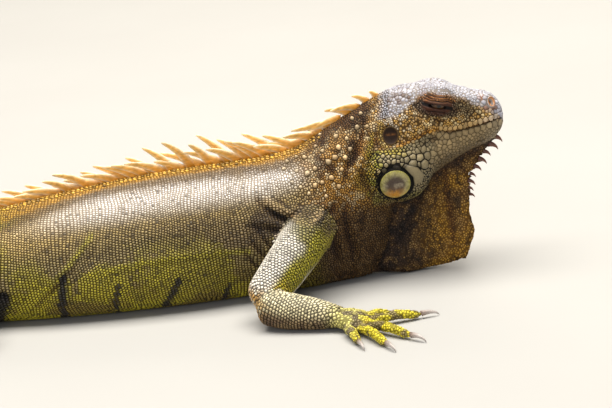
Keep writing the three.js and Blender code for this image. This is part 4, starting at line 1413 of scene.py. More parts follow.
class Seeds:
    """Accepted seeds, kept in a grid of cells so that near ones are found quickly."""

    def __init__(self):
        self.places, self.sizes, self.source, self.cells = [], [], [], {}

    def crowded(self, place, size, cell, room):
        """Whether a seed would come too close to one that is already there."""
        (x, y, z), (i, j, k) = place, cell
        for a, b, c in NEAR_CELLS:
            for n in self.cells.get((i + a, j + b, k + c), ()):
                px, py, pz = self.places[n]
                least = room * 0.5 * (size + self.sizes[n])
                if (px - x) ** 2 + (py - y) ** 2 + (pz - z) ** 2 < least * least:
                    return True
        return False

    def add(self, places, sizes, source, room=ROOM):
        """Takes the seeds that have room, in their order, and answers how many those are."""
        before = len(self.places)
        for place, size in zip(places.tolist(), sizes.tolist()):
            cell = tuple(int(c // CELL) for c in place)
            if not self.crowded(place, size, cell, room):
                self.cells.setdefault(cell, []).append(len(self.places))
                self.places.append(tuple(place))
                self.sizes.append(size)
                self.source.append(source)
        return len(self.places) - before


def size_at(places, triangles):
    station, _ = along_body(places)
    return scale_spacing(places, surface.part[triangles], station)


rng = np.random.default_rng(2024)
seeds = Seeds()
PLATE, ROW, LOOSE, RIDGE = 0, 1, 2, 3
print("hand-placed kept:", seeds.add(np.array(hand_seeds), np.array(hand_sizes), PLATE, room=0.6))
knob_sizes = knob_rng.uniform(*KNOB_SIZES, len(ridge_seeds))
print("crest knobs kept:", seeds.add(np.array(ridge_seeds), knob_sizes, RIDGE, room=0.6))
for places, triangles in row_seeds:
    unrest = 0.1 + 0.35 * ramp(along_body(places)[0], 100, 125)
    sway = ROW_SWAY * (cloud(places, 34, 31) + 0.5 * cloud(places, 15, 32) - 0.75)
    places = places + rng.normal(0, 1, places.shape) * unrest[:, None] + sway[:, None] * [1, 0, 0]
    print("rows kept:", seeds.add(places, size_at(places, triangles), ROW, room=0.72))
# No scale grows on the mouth line, the open slit of the lids, the ear drum, the nostril or the shield's ring.
at = surface.points
mouth_line = path_distance(at, MOUTH)[0] < 0.9
open_slit = (eye_measure(at)[0] < 0.66) & (path_distance(at, LID_SLIT)[0] < 4.4) & off_centre(at, 15)
ear_pit = ear_measure(at, 5.9, 6.9) < 1
nostril_hole = (spot_distance(at, NOSTRIL) < 4.4) & off_centre(at, 3)
shield_ring = spot_distance(at, SHIELD) < SHIELD_RADIUS + 2.2
bare_corner = mouth_line | open_slit | (ear_pit & (at[:, 2] > 90)) | nostril_hole
bare_corner &= is_part(skin_part, *HEAD_PARTS) | shield_ring
bare_corner |= shield_ring & off_centre(at, 20)
bare = bare_corner[surface.corners].all(1)
scattered, triangles = surface.scatter(CANDIDATES, rng, ~bare)
sizes = size_at(scattered, triangles)
tree = point_tree(seeds.places)
gap = np.array([tree.find(p)[2] for p in scattered.tolist()])
order = np.flatnonzero(gap > ROOM * sizes)
order = order[np.argsort(-sizes[order] + 0.7 * rng.random(len(order)))]
print("loose candidates:", len(order), "kept:", seeds.add(scattered[order], sizes[order], LOOSE))
seed_points, seed_triangles = surface.snap(np.array(seeds.places))
keep = ~bare[seed_triangles]
seed_points, seed_triangles = seed_points[keep], seed_triangles[keep]
seed_sizes, seed_source = np.array(seeds.sizes)[keep], np.array(seeds.source)[keep]
print("scales in all:", len(seed_points))

# %% [markdown]
# ## From seeds to scales
# Where soft plates grow until they meet, each takes the ground that is nearest to it, which is a power
# diagram. For each seed the script looks along many directions for the border with its neighbours, and
# keeps the farthest point in each sector as a corner of the scale. One small cushion, made with bmesh
# operators, is then copied onto every seed with its rim pulled to those corners. The copies are joined with
# arrays, because tens of thousands of separate objects would be slow to open.

# %% Borders between neighbours
NEIGHBOURS = 13
SAMPLES = 24
LEAST_SHARE, MOST_SHARE = 0.45, 0.85
NO_BORDER = 1e6
# The toes spread from a point this far behind the wrist or ankle, in millimetres.
TOE_FAN = 14


def scale_lie(points, part):
    """The way each scale points: backward on the body, down the limbs, and out along the toes."""
    lie = -np.column_stack([spine_ahead[nearest_on_spine(points)], np.zeros(len(points))])
    for name, joints in LIMB_JOINTS.items():
        root, _, elbow, wrist = joints
        upper, lower, end = (part == number for number in limb_numbers(name))
        lie[upper], lie[lower] = unit(elbow - root), unit(wrist - elbow)
        lie[end] = unit(points[end] - (wrist - TOE_FAN * unit(wrist - elbow)))
    return lie


seed_part = surface.part[seed_triangles]
seed_station, seed_sideways = along_body(seed_points)
seed_normal = surface.normal_at(seed_points, seed_triangles)
lie = scale_lie(seed_points, seed_part)
lie_u = unit(lie - seed_normal * (lie * seed_normal).sum(1, keepdims=True))
lie_v = np.cross(seed_normal, lie_u)

tree = point_tree(seed_points.tolist())
near = np.array([[hit[1] for hit in tree.find_n(p, NEIGHBOURS + 1)][1:] for p in seed_points.tolist()])
radius = seed_sizes / 2
offset = seed_points[near] - seed_points[:, None]
distance = np.linalg.norm(offset, axis=2)
du = (offset * lie_u[:, None]).sum(2)
dv = (offset * lie_v[:, None]).sum(2)
flat_length = np.maximum(np.hypot(du, dv), 1e-6)
du, dv = du * distance / flat_length, dv * distance / flat_length
facing_away = (seed_normal[near] * seed_normal[:, None]).sum(2) < 0.1
reach = (distance**2 + radius[:, None] ** 2 - radius[near] ** 2) / 2
reach = np.where(facing_away, NO_BORDER, np.maximum(reach, 0.05))
angles = np.linspace(0, 2 * np.pi, SAMPLES, endpoint=False)
border = np.empty((len(seed_points), SAMPLES))
for k, angle in enumerate(angles):
    ahead = du * np.cos(angle) + dv * np.sin(angle)
    border[:, k] = np.where(ahead > 1e-3, reach / np.maximum(ahead, 1e-3), NO_BORDER).min(1)
border = np.clip(border, LEAST_SHARE * radius[:, None], MOST_SHARE * 2 * radius[:, None])

# A plate beside the cheek shield stops at the black ring round it.
from_shield = seed_points[:, [0, 2]] - SHIELD
SHIELD_RING = SHIELD_RADIUS + 1.9
beside = (np.linalg.norm(from_shield, axis=1) < 24) & off_centre(seed_points, 12)
for k, angle in enumerate(angles):
    way = (lie_u * np.cos(angle) + lie_v * np.sin(angle))[:, [0, 2]]
    square, middle = (way**2).sum(1) + 1e-6, (from_shield * way).sum(1)
    under = middle**2 - square * ((from_shield**2).sum(1) - SHIELD_RING**2)
    touch = (-middle - np.sqrt(np.maximum(under, 0))) / square
    meets = beside & (under > 0) & (touch > 0)
    border[:, k] = np.where(meets, np.minimum(border[:, k], touch), border[:, k])
print("mean reach of a scale:", round(float(border.mean()), 2), "mm")


# %% One scale as a template
def scale_template(sides):
    """Faces of a shallow cushion. Its corners are the base ring, then the rim ring, and the middle last."""
    bm = bmesh.new()
    bmesh.ops.create_cone(bm, cap_ends=True, segments=sides, radius1=1, radius2=0.5, depth=1)
    top = max(bm.faces, key=lambda face: face.calc_center_median().z)
    bmesh.ops.poke(bm, faces=[top])

    def rank(corner):
        x, y, z = corner.co
        return np.hypot(x, y) < 0.1, z > 0, np.arctan2(y, x) % (2 * np.pi)

    order = {corner: n for n, corner in enumerate(sorted(bm.verts, key=rank))}
    faces = [[order[corner] for corner in face.verts] for face in bm.faces]
    bm.free()
    return faces


# %% Height and edge of each scale
SINK = 0.3
#  what grows there: rim height, middle height, rise to the rear, keel and rim width, as shares of the scale's
#  size, then the bare gap round it in millimetres and how dark its foot is painted, as painted shade
SCALE_SHAPES = {
    "trunk": (0.11, 0.19, 0.05, 0.03, 0.74, 0.17, 0.10),
    "tail": (0.09, 0.14, 0.14, 0.12, 0.80, 0.03, 0.30),
    "limb": (0.12, 0.21, 0.09, 0.02, 0.74, 0.13, 0.14),
    "foot": (0.13, 0.22, 0.05, 0.00, 0.72, 0.08, 0.30),
    "plate": (0.07, 0.10, 0.00, 0.00, 0.84, 0.08, 0.52),
    "cheek": (0.10, 0.16, 0.00, 0.00, 0.74, 0.08, 0.30),
    "jaw": (0.05, 0.07, 0.00, 0.00, 0.86, 0.07, 0.55),
    "jowl": (0.08, 0.09, 0.00, 0.00, 0.88, 0.25, 0.05),
    "lid": (0.08, 0.13, 0.00, 0.00, 0.76, 0.05, 0.50),
    "fan": (0.10, 0.19, 0.04, 0.00, 0.72, 0.10, 0.35),
    "cone": (0.24, 0.55, 0.06, 0.00, 0.62, 0.10, 0.25),
    "ridge": (0.18, 0.34, 0.10, 0.04, 0.66, 0.14, 0.15),
}
SHAPE_OF_PART = {
    "head": "plate", "lower_jaw": "jaw", "eyelids": "lid", "dewlap": "fan", "hand": "foot", "foot": "foot",
    "upper_arm": "limb", "forearm": "limb", "thigh": "limb", "shin": "limb",
    **dict.fromkeys(TRUNK, "trunk"), **dict.fromkeys(TAIL, "tail"),
}

shape_number = {name: number for number, name in enumerate(SCALE_SHAPES)}
seed_shape = np.array([shape_number[SHAPE_OF_PART[plain_name(part)]] for part in FLESH])[seed_part]
below = below_jaw_line(seed_points)
on_head, seed_x = is_part(seed_part, *HEAD_PARTS), seed_points[:, 0]
near_eye = (eye_measure(seed_points)[0] < 1.1) & off_centre(seed_points, 10)
on_jowl = (below > 1.0) & (seed_x < 205) & off_centre(seed_points, 8)
on_jowl &= (seed_x < 190) | (seed_points[:, 2] < 89)
HEAD_ZONES = {
    "cheek": (below < 0) & (head_white(seed_points) < 0.5) & ~near_eye,
    "lid": near_eye,
    "jaw": (below > -3.5) & (seed_x > 203),
    "jowl": on_jowl,
}
for name, zone in HEAD_ZONES.items():
    seed_shape[on_head & zone] = shape_number[name]
seed_shape[seed_source == RIDGE] = shape_number["ridge"]
seed_shape[(seed_source == PLATE) & is_part(seed_part, *TRUNK)] = shape_number["cone"]
for name, number in shape_number.items():
    print(f"{name}: {(seed_shape == number).sum()} scales")


# %% Where each scale lies on the flattened skin
FAN_LEAN = 4.5
FAN_HEIGHT = 98
LEFT_FAN_SHIFT, SOLE_SHIFT = 90.0, 150.0


def fan_middle(height):
    """Sideways place of the throat fan's middle, which leans to the right towards its lower edge."""
    return -FAN_LEAN * np.clip(1 - height / FAN_HEIGHT, 0, 1) ** 1.5


def flattened(points, part, station, sideways, facing_up):
    """Places of the roots on an unrolled skin: along the body or limb, and round it."""
    x, y, z = points.T
    middle = WAIST * back_height(station)
    around = np.arctan2(sideways / half_width(station), (z - middle) / middle)
    along = station.copy()
    for name, joints in LIMB_JOINTS.items():
        root, _, elbow, wrist = joints
        upper, lower, _ = (part == number for number in limb_numbers(name))
        start = np.where(lower[:, None], elbow, root)
        way = np.where(lower[:, None], unit(wrist - elbow), unit(elbow - root))
        off = points - start
        travelled = (off * way).sum(1) + np.where(lower, np.linalg.norm(elbow - root), 0)
        flat = unit(np.cross(way, [0, 0, 1]))
        turn = np.arctan2((off * flat).sum(1), (off * np.cross(flat, way)).sum(1))
        along, around = np.where(upper | lower, travelled, along), np.where(upper | lower, turn, around)
    head = is_part(part, *HEAD_PARTS)
    along, around = np.where(head, x, along), np.where(head, np.arctan2(y, z - 98), around)
    fan = is_part(part, "dewlap")
    left = np.where(y < fan_middle(z), 0.0, LEFT_FAN_SHIFT)
    along, around = np.where(fan, x + left, along), np.where(fan, z, around)
    foot = is_part(part, "hand", "foot")
    sole = np.where(facing_up, 0.0, SOLE_SHIFT)
    along, around = np.where(foot, x + sole, along), np.where(foot, y, around)
    return np.column_stack([along, around])


seed_flat = flattened(seed_points, seed_part, seed_station, seed_sideways, seed_normal[:, 2] >= 0)

# %% Grow the scales of one region
PATCH = 0.003
DARK_SPECKS = 0.05
LEAST_REACH = 0.25
RIM_SHADE, MIDDLE_SHADE = 0.92, 1.1
seed_valley = skin_valley[surface.corners[seed_triangles]].mean(1)
seed_colour = markings(seed_points, seed_part, seed_station, seed_sideways)
is_cone, is_ridge = (seed_shape == shape_number[name] for name in ("cone", "ridge"))
# a painted highlight: the neck cones are mixed halfway to a pale tan
seed_colour[is_cone] = seed_colour[is_cone] * 0.5 + linear("e6cda2") * 0.5
seed_colour[is_ridge] = seed_colour[is_ridge] * 0.4 + linear("d8a93e") * 0.6
tone = np.where(is_ridge, 0.35, 0.15) * rng.normal(0, 1, len(seed_points))
speck = (rng.random(len(seed_points)) < DARK_SPECKS) & is_part(seed_part, *TRUNK) & ~is_cone
# random tone, a few dark specks, and painted shade in the valleys of the folds
seed_colour *= np.clip(1 + tone - 0.65 * speck, 0.3, 1.5)[:, None] * (1 - FOLD_SHADE * seed_valley[:, None])


def grow_scales(name, chosen, sides, material):
    """Joins one scale for every chosen seed into a single piece."""
    faces = scale_template(sides)
    count, per_scale = len(chosen), 2 * sides + 1
    size = 2 * radius[chosen, None]
    shapes = np.array(list(SCALE_SHAPES.values()))[seed_shape[chosen]]
    rim_height, middle_height, rise, keel, rim, gap, foot_shade = shapes.T[:, :, None]

    # the border's farthest point in each sector, less the gap, which rows have mostly in front and behind
    sectors = border[chosen].reshape(count, sides, -1)
    way = angles[sectors.argmax(2) + np.arange(sides) * (SAMPLES // sides)]
    in_row = (seed_source[chosen] == ROW)[:, None]
    gap = gap * np.where(in_row, 0.4 + 1.2 * np.abs(np.cos(way)), 1)
    reach = np.maximum(sectors.max(2) - gap, LEAST_REACH)
    u, v = reach * np.cos(way), reach * np.sin(way)
    ring_u, ring_v = (np.hstack([side, side * rim, np.zeros((count, 1))]) for side in (u, v))
    height = np.hstack([
        np.full((count, sides), -SINK),
        size * (rim_height + rise * (u / size * 2) + keel * np.clip(1 - np.abs(v) / size * 5, 0, 1)),
        size * (middle_height + keel),
    ])
    corners = seed_points[chosen, None]
    for amount, direction in ((ring_u, lie_u), (ring_v, lie_v), (height, seed_normal)):
        corners = corners + amount[:, :, None] * direction[chosen, None]
    # painted shade and light on each scale: its foot darker where it meets the skin, its middle lighter as a
    # painted highlight
    shade = np.tile([0.0] * sides + [RIM_SHADE] * sides + [MIDDLE_SHADE], (count, 1))
    shade[:, :sides] = foot_shade
    colours = (seed_colour[chosen, None] * shade[:, :, None]).reshape(-1, 3)

    face_sizes = np.tile([len(face) for face in faces], count)
    starts = np.concatenate([[0], np.cumsum(face_sizes)[:-1]])
    loops = (np.arange(count)[:, None] * per_scale + np.concatenate(faces)).ravel()
    mesh = bpy.data.meshes.new(name)
    mesh.vertices.add(count * per_scale)
    mesh.loops.add(len(loops))
    mesh.polygons.add(len(starts))
    mesh.loops.foreach_set("vertex_index", loops.astype(np.int32))
    mesh.polygons.foreach_set("loop_start", starts.astype(np.int32))
    write_corners(mesh, corners.reshape(-1, 3))
    mesh.update(calc_edges=True)
    mesh.validate()
    mesh.shade_smooth()
    set_colours(mesh, colours)

    # each scale's small patch of the map, at the place of its root on the unrolled skin
    flat = seed_flat[chosen]
    root = 0.01 + 0.98 * (flat - flat.min(0)) / np.maximum(np.ptp(flat, axis=0), 1e-6)
    local = np.stack([ring_u, ring_v], 2) / (size[:, :, None] * 1.7) * PATCH
    places = (root[:, None] + local).reshape(-1, 2)[loops]
    mesh.uv_layers.new(name="OFBake").data.foreach_set("uv", places.astype(np.float32).ravel())
    mesh.materials.append(material)
    piece = add_object(name, mesh)
    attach(piece, "root")
    triangles = sum(len(face) - 2 for face in faces) * count
    print(f"{name}: {count} scales, {triangles} triangles")
    return triangles


# %% Scales of every region
# Scales are waxiest on the body, worn on the head, and dry, almost matt, on the throat and neck.
body_scales = scaled_skin("waxy_body_scales", 0.42, 0.5, 0.25, 1.48)
head_scales = scaled_skin("worn_head_plates", 0.5, 0.6, 0.35, 1.42)
fan_scales = scaled_skin("dry_throat_scales", 0.55, 0.5, 0.25, 1.4)
neck_scales = scaled_skin("dry_neck_scales", 0.55, 0.5, 0.3, 1.36)
REGIONS = {
    "head": (("head", "eyelids"), 8, head_scales, "head_skin"),
    "jaw": (("lower_jaw",), 8, head_scales, "jaw_skin"),
    "dewlap": (("dewlap",), 6, fan_scales, "dewlap_skin"),
    "neck": (("neck",), 8, neck_scales, "neck_skin"),
    "chest": (("chest",), 6, body_scales, "body_skin"),
    "belly_right": (("belly",), 6, body_scales, "body_skin"),
    "belly_left": (("belly",), 6, body_scales, "body_skin"),
    "hips": (("hips",), 6, body_scales, "body_skin"),
    "tail": (tuple(TAIL), 6, body_scales, "tail_skin"),
    "arms": (("upper_arm", "forearm"), 6, body_scales, "arm_skin"),
    "hands": (("hand",), 6, body_scales, "hand_skin"),
    "legs": (("thigh", "shin"), 6, body_scales, "leg_skin"),
    "feet": (("foot",), 6, body_scales, "leg_skin"),
}
total = 0
for region, (names, sides, material, slot) in REGIONS.items():
    wanted = is_part(seed_part, *names)
    if region.startswith("belly"):
        wanted &= (seed_points[:, 1] < 0) == region.endswith("right")
    chosen = np.flatnonzero(wanted)
    total += grow_scales(f"scales_{region}", chosen, sides, material)
print("triangles in all the scales:", total)

# %% [markdown]
# ## Horns, drums and eyes
# Crest spines, claws and throat thorns are all horn: a round root that is pulled out, flattened and bent. A
# circle extruded ring by ring makes each of them, and the same tool turns discs: the cheek shields, the ear
# drums and the eyeballs. Each ring carries its own colour, so a spine can be amber at its foot and pale
# along its edges.

# %% The tool that pulls out a horn
def ring_place(middle, first, second):
    """A matrix that puts a unit circle at middle, with the two given vectors as its half-axes."""
    first, second, middle = (Vector(v) * MM for v in (first, second, middle))
    normal = first.cross(second).normalized() * MM
    matrix = Matrix((first, second, normal)).transposed().to_4x4()
    matrix.translation = middle
    return matrix


def pull_horn(bm, rings, sides, colour_at):
    """Extrudes a circle through the rings. colour_at takes the ring number and a place on the unit circle."""
    layer = bm.verts.layers.float_color.get("Marking") or bm.verts.layers.float_color.new("Marking")
    corners = bmesh.ops.create_circle(bm, cap_ends=True, radius=1, segments=sides)["verts"]
    cap = corners[0].link_faces[0]
    places = [ring_place(*ring) for ring in rings]
    last = Matrix.Identity(4)
    for number, place in enumerate(places):
        if number:
            grown = bmesh.ops.extrude_face_region(bm, geom=[cap])["geom"]
            if number > 1:
                bmesh.ops.delete(bm, geom=[cap], context="FACES_ONLY")
            corners = [part for part in grown if isinstance(part, bmesh.types.BMVert)]
            cap = next(part for part in grown if isinstance(part, bmesh.types.BMFace))
        bmesh.ops.transform(bm, matrix=place @ last.inverted(), verts=corners)
        back = place.inverted()
        for corner in corners:
            spot = back @ corner.co
            corner[layer] = (*colour_at(number, spot.x, spot.y), 1)
        last = place


def towards(colour, tone, share):
    """A linear colour moved by a share of the way to a hex tone."""
    return colour + (linear(tone) - colour) * share


def blend_colours(low, high, share):
    return towards(linear(low), high, min(max(share, 0), 1))


def close_piece(name, bm, material, replaced=()):
    """Faces out, at the origin, riding on the one body."""
    bmesh.ops.recalc_face_normals(bm, faces=bm.faces)
    loose = sum(not edge.is_manifold for edge in bm.edges)
    piece = new_object(name, bm, material)
    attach(piece, "root")
    if replaced:
        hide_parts(*replaced)
    print(f"{name}: {len(piece.data.polygons)} faces, {loose} open edges")


def horn_piece(name, rings, sides, colour_at, material, replaced=()):
    bm = bmesh.new()
    pull_horn(bm, rings, sides, colour_at)
    close_piece(name, bm, material, replaced)


def horn(name, roughness, grain, depth, ior=1.54, coat=0.0, stretch=(1, 1, 1)):
    """Horn: half clear keratin with fine growth lines, polished by use."""
    return marked_material(name, grain, (0.72, 1.2), depth, roughness, stretch=stretch, IOR=ior,
                           Coat_Weight=coat, Coat_Roughness=0.15)


# %% [markdown]
# ## The crest
# Each spine is one long, thin scale of soft horn. A cone would be too round and a flat card too sharp, so
# the circle is squeezed to a blade that leans back and bends over at its tip. Sine waves of a spine's
# number make it a little unlike the next one, and the same ones every time.

# %% Crest spines
#   station, length of the spine, its rise as a share of that, its width at the foot
CREST_TABLE = np.array([
    [172, 7, 0.8, 4.4], [158, 22, 0.55, 5.4], [140, 27, 0.34, 6], [120, 28, 0.4, 6.4], [95, 28, 0.62, 6.4],
    [50, 28, 0.66, 6.4], [15, 27, 0.56, 6.2], [-20, 26, 0.46, 6], [-80, 23, 0.42, 5.6], [-140, 17, 0.42, 5],
    [-200, 12, 0.46, 4.6], [-340, 8, 0.5, 4], [-500, 5, 0.55, 3], [-760, 2.5, 0.6, 2],
])[::-1]
CREST_PITCH, TAIL_CREST_PITCH = 6.6, 9.0
CREST_ROOT = 2.5
CREST_RINGS = 9
CREST_SIDES = 12
BLADE_HALF_THICKNESS = 1.15
TIP_BEND = 0.23


def spine_colour(ring, x, y):
    """Amber with paler streaks up the blade and a pale tip; the whitish front and back edges are painted
    light glowing through the thin horn.
    """
    h = ring / (CREST_RINGS - 1)
    body = blend_colours("d68c20", "f1b34c", 0.1 + h)
    body = towards(body, "fbdc98", 0.5 * ramp(h, 0.05, 0.5) * bump(abs(x) - 0.45, 0.25))
    # painted light through the thin horn: whitish front and back edges
    edge = 0.85 * ramp(abs(x), 0.45, 0.85) * ramp(h, 0.0, 0.3)
    return towards(body, "fdebc6", max(edge, 0.7 * ramp(h, 0.75, 1.0)))


def crest_spine(bm, station, number):
    """One blade that leans back from the spine line. number makes each a little unlike its neighbours."""
    length, lift, width = read_table(CREST_TABLE, station)
    foot, forward = spine_at(station)
    foot, forward = np.array([*foot, 0.0]), np.array([*forward, 0.0])
    left = np.array([-forward[1], forward[0], 0.0])
    lean = 0.2 * np.sin(number * 2.4) - 0.06
    reach = length * (0.95 + 0.1 * np.sin(number * 1.7) + 0.1 * np.sin(number * 4.1))
    lift = min(max(lift * (0.9 + 0.3 * np.sin(number * 2.9)), 0.2), 0.85)
    heights = 1 - (1 - np.linspace(0, 1, CREST_RINGS)) ** 1.25
    middles = []
    for h in heights:
        back = reach * np.sqrt(1 - lift**2) * h**1.3
        up = back_height(station - back) - CREST_ROOT
        up += (reach * lift * 1.3 + CREST_ROOT) * (h - TIP_BEND * h * h)
        middles.append(foot - forward * back + left * lean * reach * h * h + [0, 0, up])
    rings = []
    for h, middle, way in zip(heights, middles, unit(np.gradient(np.array(middles), axis=0))):
        edgewise = unit(np.cross(way, left))
        flat = np.cross(edgewise, way)
        full = max(1 - h, 0.0) ** 0.28
        girth = 1.3 * width / 2 * (1 - 0.42 * h)
        half_blade, half_thickness = max(full * girth, 0.5), max(full * BLADE_HALF_THICKNESS, 0.25)
        rings.append((middle, edgewise * half_blade, flat * half_thickness))
    pull_horn(bm, rings, CREST_SIDES, spine_colour)


# Crest horn is thin and half clear, and its growth lines run up the blade; the glow of light through its
# edges is painted into the spines' colours.
crest_material = horn("amber_crest_horn", 0.38, 0.9, 0.2, ior=1.4, stretch=(0.2, 1, 0.5))
crest_stations = [*np.arange(172, -190, -CREST_PITCH), *np.arange(-194, -700, -TAIL_CREST_PITCH)]
bm = bmesh.new()
for number, station in enumerate(crest_stations):
    crest_spine(bm, station, number)
close_piece("crest_spines", bm, crest_material)

# %% Thorns down the front of the throat fan
#   height and front edge of the fan
FAN_FRONT = np.array([[46, 232.8], [57, 230.8], [64, 233], [71, 237.6], [78, 243], [88, 251.5], [98, 254]])
THORNS = 9
THORN_TOP, THORN_PITCH = 89, 4.9
THORN_RINGS = 6
THORN_BEND = 1.3


def thorn_colour(ring, x, y):
    return blend_colours("4a2418", "7a4a34", ring / (THORN_RINGS - 1))


bm = bmesh.new()
for number in range(THORNS):
    z = THORN_TOP - number * THORN_PITCH
    root = np.array([*(read_table(FAN_FRONT, z) - 1.5), fan_middle(z), z])
    size = 0.8 - 0.34 * number / THORNS + 0.08 * np.sin(number * 2.3)
    rings = []
    for t in np.linspace(0, 1, THORN_RINGS):
        middle = root + size * np.array([8.2 * np.sin(t * THORN_BEND), -0.8 * t, -4.5 * t * t - 1.0 * t])
        way = np.array([np.cos(t * THORN_BEND), 0, -0.2 - 0.9 * t])
        upright = np.array([-way[2], 0, way[0]]) / np.linalg.norm(way)
        taper = size * (1 - t) ** 0.8
        rings.append((middle, upright * max(2.9 * taper, 0.2), np.array([0, 1.4 * taper + 0.15, 0])))
    pull_horn(bm, rings, 8, thorn_colour)
# The thorns' horn is dark and dull, with coarse growth lines.
close_piece("throat_thorns", bm, horn("dark_throat_horn", 0.45, 0.6, 0.3))

# %% Claws
CLAW_RINGS = 8
CLAW_BEND = 1.25
TOES = range(1, 6)


def claw_colour(ring, x, y):
    """Brownish at the root, clear grey horn in the middle, darker at the very tip and along the ridge."""
    t = ring / (CLAW_RINGS - 1)
    base = blend_colours("8d7566", "bdb3ab", t * 2.2)
    return towards(base, "5f5450", 0.6 * ramp(t, 0.6, 1.0) + 0.2 * ramp(y, 0.5, 1.0))


def node_corners(node):
    return read_corners(frame["nodes"][node].data)


def claw_rings(shape, wrist):
    """Rings of a hooked claw inside the corners of its plain solid, from the root towards the tip."""
    middle = shape.mean(0)
    way = np.linalg.svd((shape - middle)[:, :2], full_matrices=False)[2][0]
    way = np.array([*way, 0.0]) * np.sign(way @ (middle - wrist)[:2])
    along = (shape - middle) @ way
    root, length = along.min(), np.ptp(along)
    girth = length / 3.8
    across = np.array([-way[1], way[0], 0.0])
    rings = []
    for t in np.linspace(0, 1, CLAW_RINGS):
        point = middle * [1, 1, 0] + way * (root + length * np.sin(CLAW_BEND * t) / np.sin(CLAW_BEND))
        point = point + np.array([0, 0, girth * (1.05 + 0.75 * t - 1.62 * t * t)])
        upright = np.cross(unit(np.array([0, 0, 0.25 - 1.3 * t]) + way), across)
        upright *= np.sign(upright[2])
        taper = girth * (1 - t) ** 0.75
        rings.append((point, across * max(0.52 * taper, 0.16), upright * max(0.62 * taper, 0.18)))
    return rings


# Claw horn is clear grey and worn smooth, so a thin clear coat gives it the shine of a polished nail.
claw_material = horn("clear_grey_claw_horn", 0.3, 0.8, 0.2, coat=0.3)
for limb in [f"{end}_{side}" for end in ("hand", "foot") for side in SIDES]:
    for toe in TOES:
        node = f"claw_{limb}_{toe}"
        rings = claw_rings(node_corners(node), node_corners(limb).mean(0))
        horn_piece(f"horn_{node}", rings, 10, claw_colour, claw_material, [node])

# %% [markdown]
# ## Discs: shields, drums, nostrils and eyes
# These are round and shallow, so each is turned like a bowl on a lathe: a short profile gives the radius and
# height of every ring, from the back to the middle of the front. Drums and nostrils lie in pits of the skin,
# so rays look for the rim of the pit, and the disc takes its middle and its slope from there.

# %% Cheek shields
SHIELD_SIDES = 40
SHIELD_TILT = 0.26
SHIELD_HALF_SIZE = 10.5


def facing_frame(out):
    """A unit outward direction, with the forward and upward directions square to it."""
    out = unit(np.asarray(out, float))
    forward = unit(np.array([1.0, 0, 0]) - out * out[0])
    up = np.cross(out, forward)
    return out, forward, up * np.sign(up[2])


def rim_frame(spot, reach, sign):
    """The middle of a pit and its facing frame, from the skin round its rim. spot is seen from the side."""
    turns = np.linspace(0, 2 * np.pi, 12, endpoint=False)
    ring = zip(spot[0] + reach * np.cos(turns), spot[1] + reach * np.sin(turns))
    rim = [place[:] for place in (skin_beside(x, z, sign) for x, z in ring) if place]
    middle = np.mean(rim, axis=0)
    out = np.linalg.svd(np.array(rim) - middle)[2][2]
    return middle, *facing_frame(out * np.sign(out[1]) * sign)


def disc_rings(middle, frame_of_disc, half_sizes, profile):
    """Rings of a turned disc. profile lists its radius share and its height in millimetres, from the back."""
    out, forward, up = frame_of_disc
    wide, high = forward * half_sizes[0], up * half_sizes[1]
    return [(middle + out * height, wide * share, high * share) for share, height in profile]


SHIELD_SHARES = (1.0, 0.97, 0.93, 0.87, 0.8, 0.72, 0.64, 0.55, 0.46, 0.37, 0.28, 0.19, 0.1, 0.03)
SHIELD_PROFILE = [(0.3, -1.6), (0.86, -1.6), (0.98, -0.9)]
for share in SHIELD_SHARES:
    SHIELD_PROFILE.append((share, 1.7 * (1 - share**2.6) - 0.25 + 0.25 * bump(share - 0.72, 0.15)))


def shield_colour(ring, x, y):
    """Grey-beige and mottled, with a brown middle, an olive rim and an orange patch low down."""
    share = SHIELD_PROFILE[ring][0]
    x, y = x * share, y * share
    far = np.hypot(x, y)
    place = np.array([[x * 10, y * 10, 3.0]])
    mottle, speck = cloud(place, 3.2, 21)[0], cloud(place, 1.3, 23)[0]
    tone = towards(linear("a09764"), "857862", fall(far + 0.7 * (mottle - 0.5), 0.5, 0.75))
    tone = towards(tone, "40302a", ramp(mottle, 0.44, 0.56) * fall(far, 0.5, 0.8) * 0.9)
    tone = towards(tone, "aba345", ramp(far + 0.4 * (speck - 0.5), 0.78, 0.98) * 0.7)
    tone = towards(tone, "4e3d2c", ramp(speck, 0.56, 0.7) * 0.5)
    return towards(tone, "b87c14", bump(y + 0.68 + 0.35 * (speck - 0.5), 0.28) * bump(x + 0.12, 0.62))


# One very large scale: the same horn as the others, spread so thin and flat that it is only half gloss.
shield_material = horn("mottled_shield_scale", 0.5, 1.0, 0.3, ior=1.42)
for side, sign in SIDES.items():
    node = f"cheek_shield_{side}"
    middle = sum(np.array(corner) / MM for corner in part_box(node)) / 2
    facing = facing_frame([0.06, sign * np.cos(SHIELD_TILT), -np.sin(SHIELD_TILT)])
    rings = disc_rings(middle, facing, (SHIELD_HALF_SIZE, SHIELD_HALF_SIZE), SHIELD_PROFILE)
    horn_piece(f"shield_{side}", rings, SHIELD_SIDES, shield_colour, shield_material, [node])

# %% Ear drums
DRUM_PROFILE = [
    (0.3, -2.6), (0.95, -2.4), (1.0, -0.4), (0.97, 0.1), (0.9, -0.05), (0.8, -0.5), (0.65, -0.95),
    (0.45, -1.25), (0.25, -1.4), (0.04, -1.45),
]
DRUM_HALF_SIZES = (5.7, 6.5)
EAR_RIM = 7.8


def drum_colour(ring, x, y):
    """Dark skin, a brown trace of the bone that lies behind it, and a paler rim."""
    share = DRUM_PROFILE[ring][0]
    membrane = blend_colours("1c120d", "2c1d13", share)
    membrane = towards(membrane, "6b4320", bump(y * share - 0.12, 0.09) * fall(share, 0.3, 0.8))
    return towards(membrane, "66502f", ramp(share, 0.85, 1.0))


